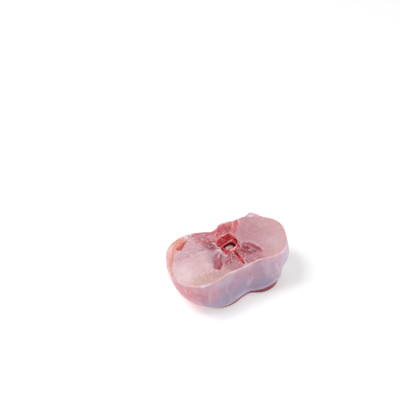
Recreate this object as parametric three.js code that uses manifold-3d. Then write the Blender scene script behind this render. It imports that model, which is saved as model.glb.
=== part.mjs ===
// A raw rabbit chop: one slice sawn across the saddle, lying on its lower cut face.
//
// Units are millimetres, +Z is up. Every shape is drawn in the plan of the upper cut, with the centre of the
// spinal canal at the origin, +X toward the right loin, +Y toward the belly and -Y toward the back. `depth`
// is 0 at the upper cut and 1 at the lower one.
import * as THREE from 'three';
import { mergeVertices } from 'three/addons/utils/BufferGeometryUtils.js';
import Module from 'manifold-3d';

const wasm = await Module();
wasm.setup();

// Driving dimensions of the slice.
const THICKNESS = 24.5;
const CLEARANCE = 0.3;
const RIM_RADIUS = 0.9;
const BASE_RADIUS = 0.8;
const WALL_BULGE = 1;
const MUSCLE_BLEND = 2;

// The muscles draw together toward the lower cut: how far each group has moved there, and how they move.
const DRIFT_LEFT = [11, -1.7];
const DRIFT_RIGHT = [-6, -3.7];
const DRIFT_BELLY = [2.5, -2.7];
const DRIFT_BACK = [2.5, 0.8];
const DRIFT_POWER = 1.55;
const SHRINK = 0.06;

// The muscles whose blended ellipses make the section.
const MUSCLES = [
  muscle('left loin', [-23.3, -3.4], [17.4, 20], -40, DRIFT_LEFT),
  muscle('left belly side', [-18.3, 7.1], [18, 13.7], -1, DRIFT_LEFT),
  muscle('tenderloins', [3, 8.1], [7.6, 12], -23, DRIFT_BELLY),
  muscle('back', [-3.6, -13.8], [18, 6], 3, DRIFT_BACK),
  muscle('right loin', [18.3, -0.7], [15.6, 19.3], 10, DRIFT_RIGHT),
  muscle('right belly side', [27, 2.4], [9.4, 9.4], 0, DRIFT_RIGHT),
  muscle('right flank stub', [25.7, 12.2], [2.6, 6.4], 0, DRIFT_RIGHT),
];

// The canal, and with it the bone, runs down through the slice with this lean.
const BONE_LEAN = [2.7, 1.6];
const BONE_PROUD = 0.1;
const MARROW_DEPTH = 0.8;
const CORD_RECESS = 0.9;

// Seams between muscles on the upper cut, as the line of the groove, its depth and its half width.
const SEAMS = [
  { depth: 0.4, width: 1.3, line: [[-33, 2], [-26, 0.2], [-20, 2.6], [-14, 2.6], [-8, 1.5]] },
  { depth: 0.6, width: 1.1, line: [[-17.2, -12.6], [-14.4, -6.4], [-11, -2.4], [-7.6, -0.4]] },
  { depth: 0.6, width: 1.1, line: [[-15.4, -14.6], [-11.8, -11.4], [-10.9, -8], [-9, -5.2], [-7.4, -3.6]] },
  { depth: 0.7, width: 1.1, line: [[6.8, -2.8], [8.8, -5.8], [10, -8], [10.5, -10.6]] },
  { depth: 0.7, width: 1.1, line: [[10.2, -1.8], [12.4, -4.6], [13.8, -8], [14.5, -12]] },
  { depth: 0.4, width: 1, line: [[8, -8.8], [9.8, -10.6], [11.4, -13], [12.6, -16], [13.1, -18.4]] },
  { depth: 0.6, width: 1.2, line: [[7.2, 6.4], [9.6, 9.4], [12.6, 12.6], [15.6, 17]] },
  { depth: 0.5, width: 1.1, line: [[6.6, 10.6], [9, 14], [11.4, 17.4]] },
];

// Swellings of the upper cut: centre, radii and height.
const SWELLINGS = [
  { at: [-22, -8], radii: [15, 12], height: 0.9 },
  { at: [-20, 11], radii: [11, 6], height: 0.4 },
  { at: [21, -1], radii: [11, 15], height: 0.8 },
  { at: [2.8, 14], radii: [5, 3.4], height: 0.7 },
  { at: [10.8, 13.4], radii: [3.4, 3], height: 0.4 },
  { at: [-14.4, -11], radii: [2.2, 3.6], height: 0.4 },
];

// The flank flap on the left: it starts at the belly edge, thickens at once and thins out down the side.
const FLAP = { start: 134, end: 194, thickness: 8, rise: 16, edge: 1, groove: 0.9, grooveWidth: 1.4 };

// The silverskin on the back stops short of the lower cut and leaves a step over a rim of bare meat. Its edge
// is low on the left of the back and rises toward the right loin.
const LIP = { height: 1.9, rise: 3.6, riseFrom: -85, riseTo: -45, step: 0.35, from: -132, to: -34, fade: 12 };

// Where the left wall tucks in toward the lower cut: the direction, its half width, how far and from what height.
const UNDERCUT = { angle: -155, halfWidth: 24, inset: 3.7, height: 9.6 };

// The right wall's bulge, the dent below it and the silverskin's edge that turns outward over the rim of meat:
// direction and half width, height and half height, and how far out.
const WALL_BUMPS = [
  { angle: -20, halfWidth: 18, height: 16, halfHeight: 7, out: 1.4 },
  { angle: -37, halfWidth: 13, height: 9.3, halfHeight: 2.8, out: -1.3 },
  { angle: -50, halfWidth: 20, height: 5.8, halfHeight: 1.2, out: 0.3 },
];

// The groove down the middle of the back.
const BACK_GROOVE = { angle: -84, halfWidth: 9, top: 0.2, base: 0.7 };

// Facets of the meat: around the section, across the upper cut and down the wall.
const AROUND = 120;
const ACROSS = 15;
const WALL_HEIGHTS = [20, 16.5, 13, 9.5, 6.6, 5.4, 4.2, 3, 2, 1.2, 0.5, 0];

const MEAT_COLOUR = 0xdcaab0;
const FLAP_COLOUR = 0xeebfbd;
const BONE_COLOUR = 0xc9505c;
const CORD_COLOUR = 0xaf7682;

function muscle(name, at, radii, turn, drift) {
  return { name, at, radii, turn: THREE.MathUtils.degToRad(turn), drift };
}

function clamp01(value) {
  return THREE.MathUtils.clamp(value, 0, 1);
}

function bell(distance, width) {
  return Math.exp(-((distance / width) ** 2));
}

// Signed distance-like value of the blended muscles: negative inside the meat.
function meatField(x, y, depth) {
  const travel = depth ** DRIFT_POWER;
  let sum = 0;
  for (const { at, radii, turn, drift } of MUSCLES) {
    const scale = 1 - SHRINK * travel;
    const dx = x - at[0] - drift[0] * travel;
    const dy = y - at[1] - drift[1] * travel;
    const along = (dx * Math.cos(turn) + dy * Math.sin(turn)) / (radii[0] * scale);
    const across = (dy * Math.cos(turn) - dx * Math.sin(turn)) / (radii[1] * scale);
    const distance = (Math.hypot(along, across) - 1) * Math.min(...radii) * scale;
    sum += Math.exp(-distance / MUSCLE_BLEND);
  }
  return -MUSCLE_BLEND * Math.log(sum);
}

// The rays of every section start at this point, which leans with the canal.
function sectionCentre(depth) {
  return [BONE_LEAN[0] * depth, 0];
}

// How far the meat reaches from the section's centre in one direction.
function reach(angle, depth) {
  const [cx, cy] = sectionCentre(depth);
  let inside = 4;
  let outside = 60;
  for (let step = 0; step < 30; step += 1) {
    const middle = (inside + outside) / 2;
    if (meatField(cx + middle * Math.cos(angle), cy + middle * Math.sin(angle), depth) < 0) inside = middle;
    else outside = middle;
  }
  return inside;
}

// The turn in degrees from one direction to another, from -180 to 180.
function turnBetween(degrees, from) {
  return THREE.MathUtils.euclideanModulo(degrees - from + 180, 360) - 180;
}

// 1 within a range of angles in degrees, fading to 0 over `fade` outside it.
function withinAngles(angle, from, to, fade) {
  const degrees = THREE.MathUtils.radToDeg(angle);
  const outside = Math.max(from - degrees, degrees - to, 0);
  return clamp01(1 - outside / fade);
}

// The wall's distance from the section's centre, with its bulge, back groove, lip and tucked, rounded base.
function wallReach(angle, depth) {
  const height = THICKNESS * (1 - depth);
  const degrees = THREE.MathUtils.radToDeg(angle);
  const groove = THREE.MathUtils.lerp(BACK_GROOVE.top, BACK_GROOVE.base, depth);
  const rounding = clamp01(1 - height / BASE_RADIUS);
  const lipHeight = LIP.height + LIP.rise * THREE.MathUtils.smoothstep(degrees, LIP.riseFrom, LIP.riseTo);
  const underLip = THREE.MathUtils.smoothstep(lipHeight + 0.5 - height, 0, 1);
  const aroundTuck = bell(turnBetween(degrees, UNDERCUT.angle), UNDERCUT.halfWidth);
  const tuck = UNDERCUT.inset * clamp01(1 - height / UNDERCUT.height) ** 2 * aroundTuck;
  let bump = 0;
  for (const { angle: at, halfWidth, height: level, halfHeight, out } of WALL_BUMPS) {
    bump += out * bell(turnBetween(degrees, at), halfWidth) * bell(height - level, halfHeight);
  }
  const unevenness = 0.25 * Math.sin(3 * angle + 5 * depth) + 0.18 * Math.sin(7 * angle - 4 * depth);
  return reach(angle, depth)
    + WALL_BULGE * Math.sin(Math.PI * depth)
    + bump
    - groove * bell(degrees - BACK_GROOVE.angle, BACK_GROOVE.halfWidth)
    - LIP.step * underLip * withinAngles(angle, LIP.from, LIP.to, LIP.fade)
    - tuck
    - BASE_RADIUS * (1 - Math.sqrt(1 - rounding ** 2))
    + unevenness * Math.sin(Math.PI * depth);
}

// Thickness of the flank flap at an angle, measured inward from the outer wall.
function flapThickness(angle) {
  const degrees = (THREE.MathUtils.radToDeg(angle) + 360) % 360;
  const rise = Math.sqrt(clamp01((degrees - FLAP.start) / FLAP.rise));
  const fall = clamp01((FLAP.end - degrees) / (FLAP.end - FLAP.start - FLAP.rise));
  return FLAP.edge * rise + (FLAP.thickness - FLAP.edge) * rise * Math.min(1, fall ** 1.3);
}

function distanceToLine(x, y, line) {
  let nearest = Infinity;
  for (let i = 1; i < line.length; i += 1) {
    const [ax, ay] = line[i - 1];
    const [bx, by] = line[i];
    const t = clamp01(((x - ax) * (bx - ax) + (y - ay) * (by - ay)) / ((bx - ax) ** 2 + (by - ay) ** 2));
    nearest = Math.min(nearest, Math.hypot(x - ax - t * (bx - ax), y - ay - t * (by - ay)));
  }
  return nearest;
}

// Height of the upper cut over its plane: swellings, seams, the flap's groove and the rounded rim.
function cutRelief(x, y, angle, fromRim) {
  let height = 0;
  for (const swelling of SWELLINGS) {
    const [sx, sy] = swelling.at;
    height += swelling.height * bell(Math.hypot((x - sx) / swelling.radii[0], (y - sy) / swelling.radii[1]), 1);
  }
  for (const seam of SEAMS) height -= seam.depth * bell(distanceToLine(x, y, seam.line), seam.width);
  const thickness = flapThickness(angle);
  height -= FLAP.groove * clamp01(thickness) * bell(fromRim - thickness, FLAP.grooveWidth);
  const rim = clamp01(1 - fromRim / RIM_RADIUS);
  return height - RIM_RADIUS * (1 - Math.sqrt(1 - rim ** 2));
}

// A closed surface from rings of equal length, the first and last closed by a point each.
function solidFromRings(firstPoint, rings, lastPoint) {
  const count = rings[0].length;
  const positions = [firstPoint, ...rings.flat(), lastPoint].flat();
  const last = positions.length / 3 - 1;
  const triangles = [];
  for (let i = 0; i < count; i += 1) {
    const next = (i + 1) % count;
    triangles.push(0, 1 + i, 1 + next);
    for (let ring = 1; ring < rings.length; ring += 1) {
      const upper = 1 + (ring - 1) * count;
      const lower = upper + count;
      triangles.push(upper + i, lower + i, lower + next, upper + i, lower + next, upper + next);
    }
    const base = last - count;
    triangles.push(last, base + next, base + i);
  }
  return toSolid(positions, triangles);
}

function toSolid(positions, triangles) {
  const mesh = new wasm.Mesh({
    numProp: 3,
    vertProperties: new Float32Array(positions),
    triVerts: new Uint32Array(triangles),
  });
  return new wasm.Manifold(mesh);
}

function geometryToSolid(geometry) {
  geometry.deleteAttribute('normal');
  geometry.deleteAttribute('uv');
  const merged = mergeVertices(geometry, 1e-4);
  return toSolid(merged.attributes.position.array, merged.index.array);
}

function solidToGeometry(solid) {
  const { numProp, vertProperties, triVerts } = solid.getMesh();
  const geometry = new THREE.BufferGeometry();
  geometry.setAttribute('position', new THREE.InterleavedBufferAttribute(
    new THREE.InterleavedBuffer(vertProperties, numProp), 3, 0));
  geometry.setIndex(Array.from(triVerts));
  const plain = geometry.toNonIndexed();
  plain.computeVertexNormals();
  return plain;
}

// The whole slice of meat, before the flap and the bone are cut from it.
function wholeMeat() {
  const angles = Array.from({ length: AROUND }, (_, i) => -Math.PI + (2 * Math.PI * i) / AROUND);
  const rings = [];
  for (let k = 1; k <= ACROSS; k += 1) {
    const share = Math.sin((Math.PI / 2) * (k / ACROSS)) ** 0.9;
    rings.push(angles.map((angle) => {
      const edge = reach(angle, 0);
      const x = edge * share * Math.cos(angle);
      const y = edge * share * Math.sin(angle);
      return [x, y, THICKNESS + cutRelief(x, y, angle, edge * (1 - share))];
    }));
  }
  for (const height of WALL_HEIGHTS) {
    const depth = 1 - height / THICKNESS;
    const [cx, cy] = sectionCentre(depth);
    rings.push(angles.map((angle) => {
      const distance = wallReach(angle, depth);
      return [cx + distance * Math.cos(angle), cy + distance * Math.sin(angle), height];
    }));
  }
  const [baseX, baseY] = sectionCentre(1);
  return solidFromRings([0, 0, THICKNESS], rings, [baseX, baseY, 0]);
}

// The space on the left that holds the flap, grown by `margin` on its inner side and at its ends.
function flapSpace(margin) {
  const steps = 24;
  const levels = 9;
  const outward = 8;
  const overrun = 3;
  const growth = THREE.MathUtils.radToDeg(margin / 35);
  const rings = [];
  for (let level = 0; level <= levels; level += 1) {
    const height = THREE.MathUtils.lerp(THICKNESS + overrun, -overrun, level / levels);
    const depth = clamp01(1 - height / THICKNESS);
    const [cx, cy] = sectionCentre(depth);
    const inner = [];
    const outer = [];
    for (let i = 0; i <= steps; i += 1) {
      const degrees = THREE.MathUtils.lerp(FLAP.start - growth, FLAP.end + growth, i / steps);
      const angle = THREE.MathUtils.degToRad(degrees > 180 ? degrees - 360 : degrees);
      const edge = wallReach(angle, depth);
      const near = edge - flapThickness(angle) - margin;
      inner.push([cx + near * Math.cos(angle), cy + near * Math.sin(angle), height]);
      outer.push([cx + (edge + outward) * Math.cos(angle), cy + (edge + outward) * Math.sin(angle), height]);
    }
    rings.push([...outer, ...inner.reverse()]);
  }
  return solidFromLoft(rings);
}

// A closed surface from rings of equal length, the first and last filled by triangulating their outline.
function solidFromLoft(rings) {
  const count = rings[0].length;
  const positions = rings.flat(2);
  const triangles = [];
  for (let ring = 1; ring < rings.length; ring += 1) {
    const upper = (ring - 1) * count;
    const lower = upper + count;
    for (let i = 0; i < count; i += 1) {
      const next = (i + 1) % count;
      triangles.push(upper + i, lower + i, lower + next, upper + i, lower + next, upper + next);
    }
  }
  const contour = (ring) => ring.map(([x, y]) => new THREE.Vector2(x, y));
  for (const [a, b, c] of THREE.ShapeUtils.triangulateShape(contour(rings[0]), [])) triangles.push(a, b, c);
  const base = (rings.length - 1) * count;
  for (const [a, b, c] of THREE.ShapeUtils.triangulateShape(contour(rings.at(-1)), [])) {
    triangles.push(base + a, base + c, base + b);
  }
  return toSolid(positions, triangles);
}

// Outline of the vertebra, counter-clockwise from the right of the spinous process: a joint spur on each side
// of the arch, the body toward the belly, and the thin leaf of the process toward the back.
function vertebraOutline() {
  const shape = new THREE.Shape();
  const curve = (...points) => shape.splineThru(points.map(([x, y]) => new THREE.Vector2(x, y)));
  shape.moveTo(1, -5.4);
  curve([1.8, -4.3], [3.6, -3.8], [5.4, -3.5]);
  curve([5.2, -1.8], [5.1, -0.4], [6, 1.2], [6.4, 3.4]);
  curve([6, 6.4], [5.4, 9], [4.2, 10.1]);
  curve([2.2, 10.1], [-2.6, 8.9], [-4.8, 7.4], [-6.1, 5.2]);
  curve([-6.3, 2.6], [-5.6, 1]);
  curve([-6.2, -0.8], [-6.2, -3.4], [-5.8, -5.9]);
  curve([-4, -5.1], [-2.6, -4.4], [-1.1, -5.2]);
  curve([-1.2, -7], [-1.8, -10.4], [-1.4, -13.2], [-0.8, -17]);
  shape.lineTo(0.1, -17);
  curve([0.9, -13], [1.3, -10], [1, -5.4]);
  return shape;
}

const CANAL = { at: [-0.35, -0.05], radii: [3.85, 2.5], turn: 10 };
const CORD = { at: [-0.6, 0.1], radii: [3, 1.9], turn: 10 };
const MARROW = { at: [0, 6.9], radii: [4.8, 1.9], turn: 12 };

function ellipsePath({ at, radii, turn }) {
  const path = new THREE.Shape();
  path.absellipse(at[0], at[1], radii[0], radii[1], 0, Math.PI * 2, false, THREE.MathUtils.degToRad(turn));
  return path;
}

// The points of an outline pushed outward by `distance`.
function grown(shape, distance) {
  const points = shape.getPoints(4);
  if (THREE.ShapeUtils.isClockWise(points)) points.reverse();
  const distinct = points.filter((point, i) => point.distanceTo(points.at(i - 1)) > 1e-3);
  return new THREE.Shape(distinct.map((point, i) => {
    const before = point.clone().sub(distinct.at(i - 1)).normalize();
    const after = distinct[(i + 1) % distinct.length].clone().sub(point).normalize();
    const outward = new THREE.Vector2(before.y + after.y, -before.x - after.x).normalize();
    return point.clone().addScaledVector(outward, distance);
  }));
}

// A prism between two heights that leans with the bone.
function leaningPrism(shape, bottom, top, curveSegments = 6) {
  const geometry = new THREE.ExtrudeGeometry(shape, { depth: top - bottom, bevelEnabled: false, curveSegments });
  const position = geometry.attributes.position;
  for (let i = 0; i < position.count; i += 1) {
    const height = position.getZ(i) + bottom;
    const depth = 1 - height / THICKNESS;
    const x = position.getX(i) + BONE_LEAN[0] * depth;
    const y = position.getY(i) + BONE_LEAN[1] * depth;
    position.setXYZ(i, x, y, height);
  }
  return geometryToSolid(geometry);
}

function makeVertebra() {
  const top = THICKNESS + BONE_PROUD;
  const bone = leaningPrism(vertebraOutline(), 0, top);
  const canal = leaningPrism(ellipsePath(CANAL), -1, top + 1);
  const marrow = leaningPrism(ellipsePath(MARROW), top - MARROW_DEPTH, top + 1);
  return bone.subtract(canal).subtract(marrow);
}

function makeCord() {
  return leaningPrism(ellipsePath(CORD), 0, THICKNESS - CORD_RECESS);
}

function makeMeat(whole) {
  const overrun = 4;
  const boneSpace = leaningPrism(grown(vertebraOutline(), CLEARANCE), -overrun, THICKNESS + overrun);
  return whole.subtract(boneSpace).subtract(flapSpace(CLEARANCE));
}

function makeFlap(whole) {
  return whole.intersect(flapSpace(0));
}

function addPiece(name, solid, colour, roughness) {
  const material = new THREE.MeshStandardMaterial({ color: colour, roughness, metalness: 0 });
  const mesh = new THREE.Mesh(solidToGeometry(solid), material);
  mesh.name = name;
  chop.add(mesh);
}

const chop = new THREE.Group();
const whole = wholeMeat();
addPiece('loin_meat', makeMeat(whole), MEAT_COLOUR, 0.45);
addPiece('flank_flap', makeFlap(whole), FLAP_COLOUR, 0.45);
addPiece('vertebra', makeVertebra(), BONE_COLOUR, 0.6);
addPiece('spinal_cord', makeCord(), CORD_COLOUR, 0.4);

// The group is moved so that the slice is centred over the origin.
const middle = new THREE.Box3().setFromObject(chop).getCenter(new THREE.Vector3());
chop.position.set(-middle.x, -middle.y, 0);

export default chop;
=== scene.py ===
"""A raw rabbit chop on a pale floor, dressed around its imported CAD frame.

Shapes are worked out in millimetres in the plan of the upper cut: the centre of the spinal canal is the
origin, +X is toward the right loin, +Y toward the belly and -Y toward the back. `depth` is 0 at the upper
cut and 1 at the lower one. Meshes are turned into metres in the frame's own axes as they are made.
"""

import math

import bpy
import numpy as np
from mathutils import Matrix, Vector
from mathutils.geometry import delaunay_2d_cdt


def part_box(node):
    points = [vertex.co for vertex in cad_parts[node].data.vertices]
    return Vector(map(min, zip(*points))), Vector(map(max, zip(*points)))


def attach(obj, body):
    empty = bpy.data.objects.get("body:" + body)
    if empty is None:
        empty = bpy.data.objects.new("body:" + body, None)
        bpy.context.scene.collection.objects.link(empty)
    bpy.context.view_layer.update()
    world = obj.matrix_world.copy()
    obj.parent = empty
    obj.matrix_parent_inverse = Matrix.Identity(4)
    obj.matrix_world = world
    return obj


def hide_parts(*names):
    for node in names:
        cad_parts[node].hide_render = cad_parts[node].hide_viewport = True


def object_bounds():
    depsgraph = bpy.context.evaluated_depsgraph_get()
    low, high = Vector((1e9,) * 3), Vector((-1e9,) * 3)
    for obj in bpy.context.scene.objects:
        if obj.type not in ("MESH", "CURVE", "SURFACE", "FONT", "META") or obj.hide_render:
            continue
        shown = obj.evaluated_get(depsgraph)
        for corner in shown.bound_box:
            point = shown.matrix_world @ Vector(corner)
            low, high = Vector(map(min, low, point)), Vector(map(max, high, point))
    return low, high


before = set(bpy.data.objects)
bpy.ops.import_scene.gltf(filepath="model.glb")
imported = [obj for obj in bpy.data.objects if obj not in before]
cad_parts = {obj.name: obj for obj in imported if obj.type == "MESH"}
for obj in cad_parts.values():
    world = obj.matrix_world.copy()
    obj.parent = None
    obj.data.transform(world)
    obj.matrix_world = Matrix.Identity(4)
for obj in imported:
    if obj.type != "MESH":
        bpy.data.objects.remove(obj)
cad_low, cad_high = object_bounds()

# ---------------------------------------------------------------- sizes, in millimetres
MM = 0.001
BONE_PROUD = 0.1
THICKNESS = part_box("vertebra")[1].z / MM - BONE_PROUD
MUSCLE_BLEND = 2.0
RIM = 0.6
SEAM_RIM = 0.15
BASE_RIM = 0.8
WALL_BULGE = 1.0
SHRINK = 0.06
DRIFT_POWER = 1.55
DRIFT_LEFT = (11.0, -1.7)
DRIFT_RIGHT = (-6.0, -3.7)
DRIFT_BELLY = (2.5, -2.7)
DRIFT_BACK = (2.5, 0.8)
BONE_LEAN = (2.7, 1.6)
CORD_RECESS = 0.9
SEAM_GAP = 0.04
BONE_RIM = 0.08
HALVINGS = 22

# The muscles whose blended ellipses make the section: centre, radii, turn and drift toward the lower cut.
MUSCLES = (
    ((-23.3, -3.4), (17.4, 20.0), -40, DRIFT_LEFT),
    ((-18.3, 7.1), (18.0, 13.7), -1, DRIFT_LEFT),
    ((3.0, 8.1), (7.6, 12.0), -23, DRIFT_BELLY),
    ((-3.6, -13.8), (18.0, 6.0), 3, DRIFT_BACK),
    ((18.3, -0.7), (15.6, 19.3), 10, DRIFT_RIGHT),
    ((27.0, 2.4), (9.4, 9.4), 0, DRIFT_RIGHT),
    ((25.7, 12.2), (2.6, 6.4), 0, DRIFT_RIGHT),
)
UNDERCUT = (-155, 24, 3.7, 9.6)
WALL_BUMPS = ((-20, 18, 16, 7, 1.4), (-37, 13, 9.3, 2.8, -1.3), (-50, 20, 5.8, 1.2, 0.3))
BACK_GROOVE = (-84, 9, 0.2, 0.7)
FLAP_START, FLAP_END, FLAP_THICKNESS, FLAP_RISE, FLAP_EDGE = 134, 194, 8.0, 16, 1.0
FLAP_GROOVE, FLAP_GROOVE_WIDTH = 0.3, 1.2
LIP_LOW, LIP_RISE, LIP_STEP = 1.9, 3.6, 0.35

# Resolution, and the seeds of the uneven paint on each face.
AROUND, CUT_SPACING, BASE_SPACING = 620, 0.34, 0.6
RIM_ROWS, WALL_ROWS, BASE_ROWS, HOLE_ROWS = 9, 62, 6, 12
FLAP_STEPS, FLAP_RIM_ROWS, FLAP_TOP_ROWS = 120, 4, 22
FLAP_WALL_ROWS, FLAP_BASE_ROWS, FLAP_SEAM_ROWS = 50, 8, 20
BONE_SPACING, BONE_ROWS, CANAL_STEPS = 0.2, 30, 110
CORD_STEPS, CORD_DOME_ROWS, CORD_ROWS = 96, 12, 40
CUT_SEED, LOWER_SEED, WALL_SEED, BONE_SEED, BONE_LOWER_SEED = 11, 211, 51, 411, 431


# ---------------------------------------------------------------- small maths
def step(low, high, value):
    """0 below `low`, 1 above `high`, smooth between; works for low > high too."""
    t = np.clip((value - low) / (high - low), 0, 1)
    return t * t * (3 - 2 * t)


def bell(distance, width):
    return np.exp(-((distance / width) ** 2))


def turn_between(degrees, start):
    return (degrees - start + 180) % 360 - 180


def mix(a, b, share):
    share = np.asarray(share)[..., None]
    return a * (1 - share) + b * share


def noise(points, size, seed):
    """Smooth gradient noise of about -1..1 at 3D points, with features about `size` across."""
    rng = np.random.default_rng(seed)
    perm = np.concatenate([rng.permutation(256)] * 2)
    grads = rng.normal(size=(256, 3))
    grads /= np.linalg.norm(grads, axis=1)[:, None]
    p = points / size + 37.3
    cell = np.floor(p).astype(int)
    f = p - cell
    w = f * f * f * (f * (f * 6 - 15) + 10)
    total = np.zeros(len(p))
    for corner in np.ndindex(2, 2, 2):
        c = np.array(corner)
        i, j, k = ((cell + c) & 255).T
        g = grads[perm[perm[perm[i] + j] + k]]
        weight = np.prod(np.where(c == 1, w, 1 - w), axis=1)
        total += weight * np.sum(g * (f - c), axis=1)
    return total * 1.5


def layered_noise(points, size, seed, layers=3):
    total = sum(noise(points, size / 2 ** k, seed + k) / 2 ** k for k in range(layers))
    return total / 1.4


def with_height(xy, height=0.0):
    return np.column_stack([xy, np.full(len(xy), height)])


def quarter(rows, first=0):
    """Rows round a quarter turn: the share of the way, what is left along one axis and gone on the other."""
    for t in np.linspace(0, 1, rows)[first:]:
        yield t, 1 - math.sin(t * np.pi / 2), 1 - math.cos(t * np.pi / 2)


def colour(red, green, blue):
    """A linear colour from 0-255 display values."""
    c = np.array([red, green, blue]) / 255
    return np.where(c <= 0.04045, c / 12.92, ((c + 0.055) / 1.055) ** 2.4)


def line_distance(p, line):
    """Distance of 2D points from a polyline, and how far along it (0..1) the nearest place is."""
    line = np.reshape(line, (-1, 2)).astype(float)
    lengths = np.linalg.norm(np.diff(line, axis=0), axis=1)
    run = np.concatenate([[0], np.cumsum(lengths)]) / lengths.sum()
    best = np.full(len(p), np.inf)
    along = np.zeros(len(p))
    for k in range(len(line) - 1):
        a, ab = line[k], line[k + 1] - line[k]
        t = np.clip(((p - a) @ ab) / (ab @ ab), 0, 1)
        d = np.linalg.norm(p - a - t[:, None] * ab, axis=1)
        nearer = d < best
        best[nearer] = d[nearer]
        along[nearer] = (run[k] + t * (run[k + 1] - run[k]))[nearer]
    return best, along


def inside_distance(p, outline):
    """Signed distance to a closed outline, positive inside."""
    ring = np.reshape(outline, (-1, 2)).astype(float)
    distance, _ = line_distance(p, np.vstack([ring, ring[:1]]))
    inside = np.zeros(len(p), bool)
    for a, b in zip(ring, np.roll(ring, -1, axis=0)):
        crosses = (a[1] > p[:, 1]) != (b[1] > p[:, 1])
        with np.errstate(divide="ignore", invalid="ignore"):
            at = (b[0] - a[0]) * (p[:, 1] - a[1]) / (b[1] - a[1]) + a[0]
        inside ^= crosses & (p[:, 0] < at)
    return np.where(inside, distance, -distance)


def stroke(p, line, width, soft=0.5, taper=0.0):
    """1 on a line of a given width, fading over `soft`; `taper` thins its ends."""
    distance, along = line_distance(p, line)
    thin = 1 - taper * (2 * along - 1) ** 2
    return step(soft, -soft, distance - width / 2 * thin)


def region(p, outline, soft=0.6):
    return step(-soft, soft, inside_distance(p, outline))


def spot(p, at, radii, turn=0, soft=0.35):
    a = math.radians(turn)
    d = p - np.array(at)
    u = (d[:, 0] * math.cos(a) + d[:, 1] * math.sin(a)) / radii[0]
    v = (d[:, 1] * math.cos(a) - d[:, 0] * math.sin(a)) / radii[1]
    return step(1 + soft, 1 - soft, np.hypot(u, v))


def smooth_curve(points, spacing):
    """Points at about `spacing` along a closed Catmull-Rom curve through the given ones."""
    pts = np.reshape(points, (-1, 2)).astype(float)
    n = len(pts)
    out = []
    for k in range(n):
        before, a, b, after = (pts[(k + shift) % n] for shift in (-1, 0, 1, 2))
        count = max(1, int(round(np.linalg.norm(b - a) / spacing)))
        t = (np.arange(count) / count)[:, None]
        out.append(0.5 * (2 * a + (b - before) * t + (2 * before - 5 * a + 4 * b - after) * t ** 2
                          + (3 * a - before - 3 * b + after) * t ** 3))
    return np.vstack(out)


# ---------------------------------------------------------------- the section and its wall
def meat_field(x, y, depth):
    travel = depth ** DRIFT_POWER
    scale = 1 - SHRINK * travel
    total = 0
    for (cx, cy), (rx, ry), turn, (mx, my) in MUSCLES:
        c, s = math.cos(math.radians(turn)), math.sin(math.radians(turn))
        dx, dy = x - cx - mx * travel, y - cy - my * travel
        q = np.hypot((dx * c + dy * s) / (rx * scale), (dy * c - dx * s) / (ry * scale))
        total = total + np.exp(-(q - 1) * min(rx, ry) * scale / MUSCLE_BLEND)
    return -MUSCLE_BLEND * np.log(total)


def reach(angle, depth):
    """Distance from the section's centre, which leans with the bone, to the edge of the blended muscles."""
    angle, depth = np.broadcast_arrays(np.asarray(angle, float), np.asarray(depth, float))
    inside, outside = np.full(angle.shape, 4.0), np.full(angle.shape, 60.0)
    for _ in range(HALVINGS):
        middle = (inside + outside) / 2
        field = meat_field(BONE_LEAN[0] * depth + middle * np.cos(angle), middle * np.sin(angle), depth)
        inside, outside = np.where(field < 0, middle, inside), np.where(field < 0, outside, middle)
    return inside


def lip_height(degrees):
    return LIP_LOW + LIP_RISE * step(-85, -45, degrees)


def lip_share(degrees):
    outside = np.maximum(np.maximum(-132 - degrees, degrees + 34), 0)
    return np.clip(1 - outside / 12, 0, 1)


def wall_reach(angle, depth):
    """Distance of the wall from the section's centre, without its rounded edges."""
    height = THICKNESS * (1 - depth)
    degrees = np.degrees(angle)
    at, half_width, top, base = BACK_GROOVE
    distance = reach(angle, depth) + WALL_BULGE * np.sin(np.pi * depth)
    distance -= (top + (base - top) * depth) * bell(degrees - at, half_width)
    distance -= LIP_STEP * step(-0.35, 0.25, lip_height(degrees) - height) * lip_share(degrees)
    for at, half_width, level, half_height, out in WALL_BUMPS:
        distance += out * bell(turn_between(degrees, at), half_width) * bell(height - level, half_height)
    at, half_width, inset, start = UNDERCUT
    distance -= inset * np.clip(1 - height / start, 0, 1) ** 2 * bell(turn_between(degrees, at), half_width)
    uneven = 0.25 * np.sin(3 * angle + 5 * depth) + 0.18 * np.sin(7 * angle - 4 * depth)
    return distance + uneven * np.sin(np.pi * depth)


def side_angle(points):
    """The direction of each point from the section's centre at its height, in degrees."""
    depth = 1 - points[:, 2] / THICKNESS
    return np.degrees(np.arctan2(points[:, 1], points[:, 0] - BONE_LEAN[0] * depth))


def flap_thickness(degrees):
    degrees = degrees % 360
    rise = np.sqrt(np.clip((degrees - FLAP_START) / FLAP_RISE, 0, 1))
    fall = np.clip((FLAP_END - degrees) / (FLAP_END - FLAP_START - FLAP_RISE), 0, 1)
    return FLAP_EDGE * rise + (FLAP_THICKNESS - FLAP_EDGE) * rise * np.minimum(1, fall ** 1.3)


# ---------------------------------------------------------------- anatomy of the cut, as seen from above
# Outlines and lines are written as x, y, x, y.
BONE_OUTLINE = (
    1, -5.4, 1.8, -4.3, 3.6, -3.8, 5.4, -3.5, 5.2, -1.8, 5.1, -0.4, 6, 1.2, 6.4, 3.4, 6, 6.4, 5.4, 9, 4.2,
    10.1, 2.2, 10.1, -2.6, 8.9, -4.8, 7.4, -6.1, 5.2, -6.3, 2.6, -5.6, 1, -6.2, -0.8, -6.2, -3.4, -5.8,
    -5.9, -4, -5.1, -2.6, -4.4, -1.1, -5.2, -1.2, -7, -1.8, -10.4, -1.4, -13.2, -0.8, -17, 0.1, -17, 0.9,
    -13, 1.3, -10,
)
CANAL = ((-0.35, -0.05), (3.85, 2.5), 10)
CORD = ((-0.6, 0.1), (3.0, 1.9), 10)
BOXY = 3.2

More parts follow.
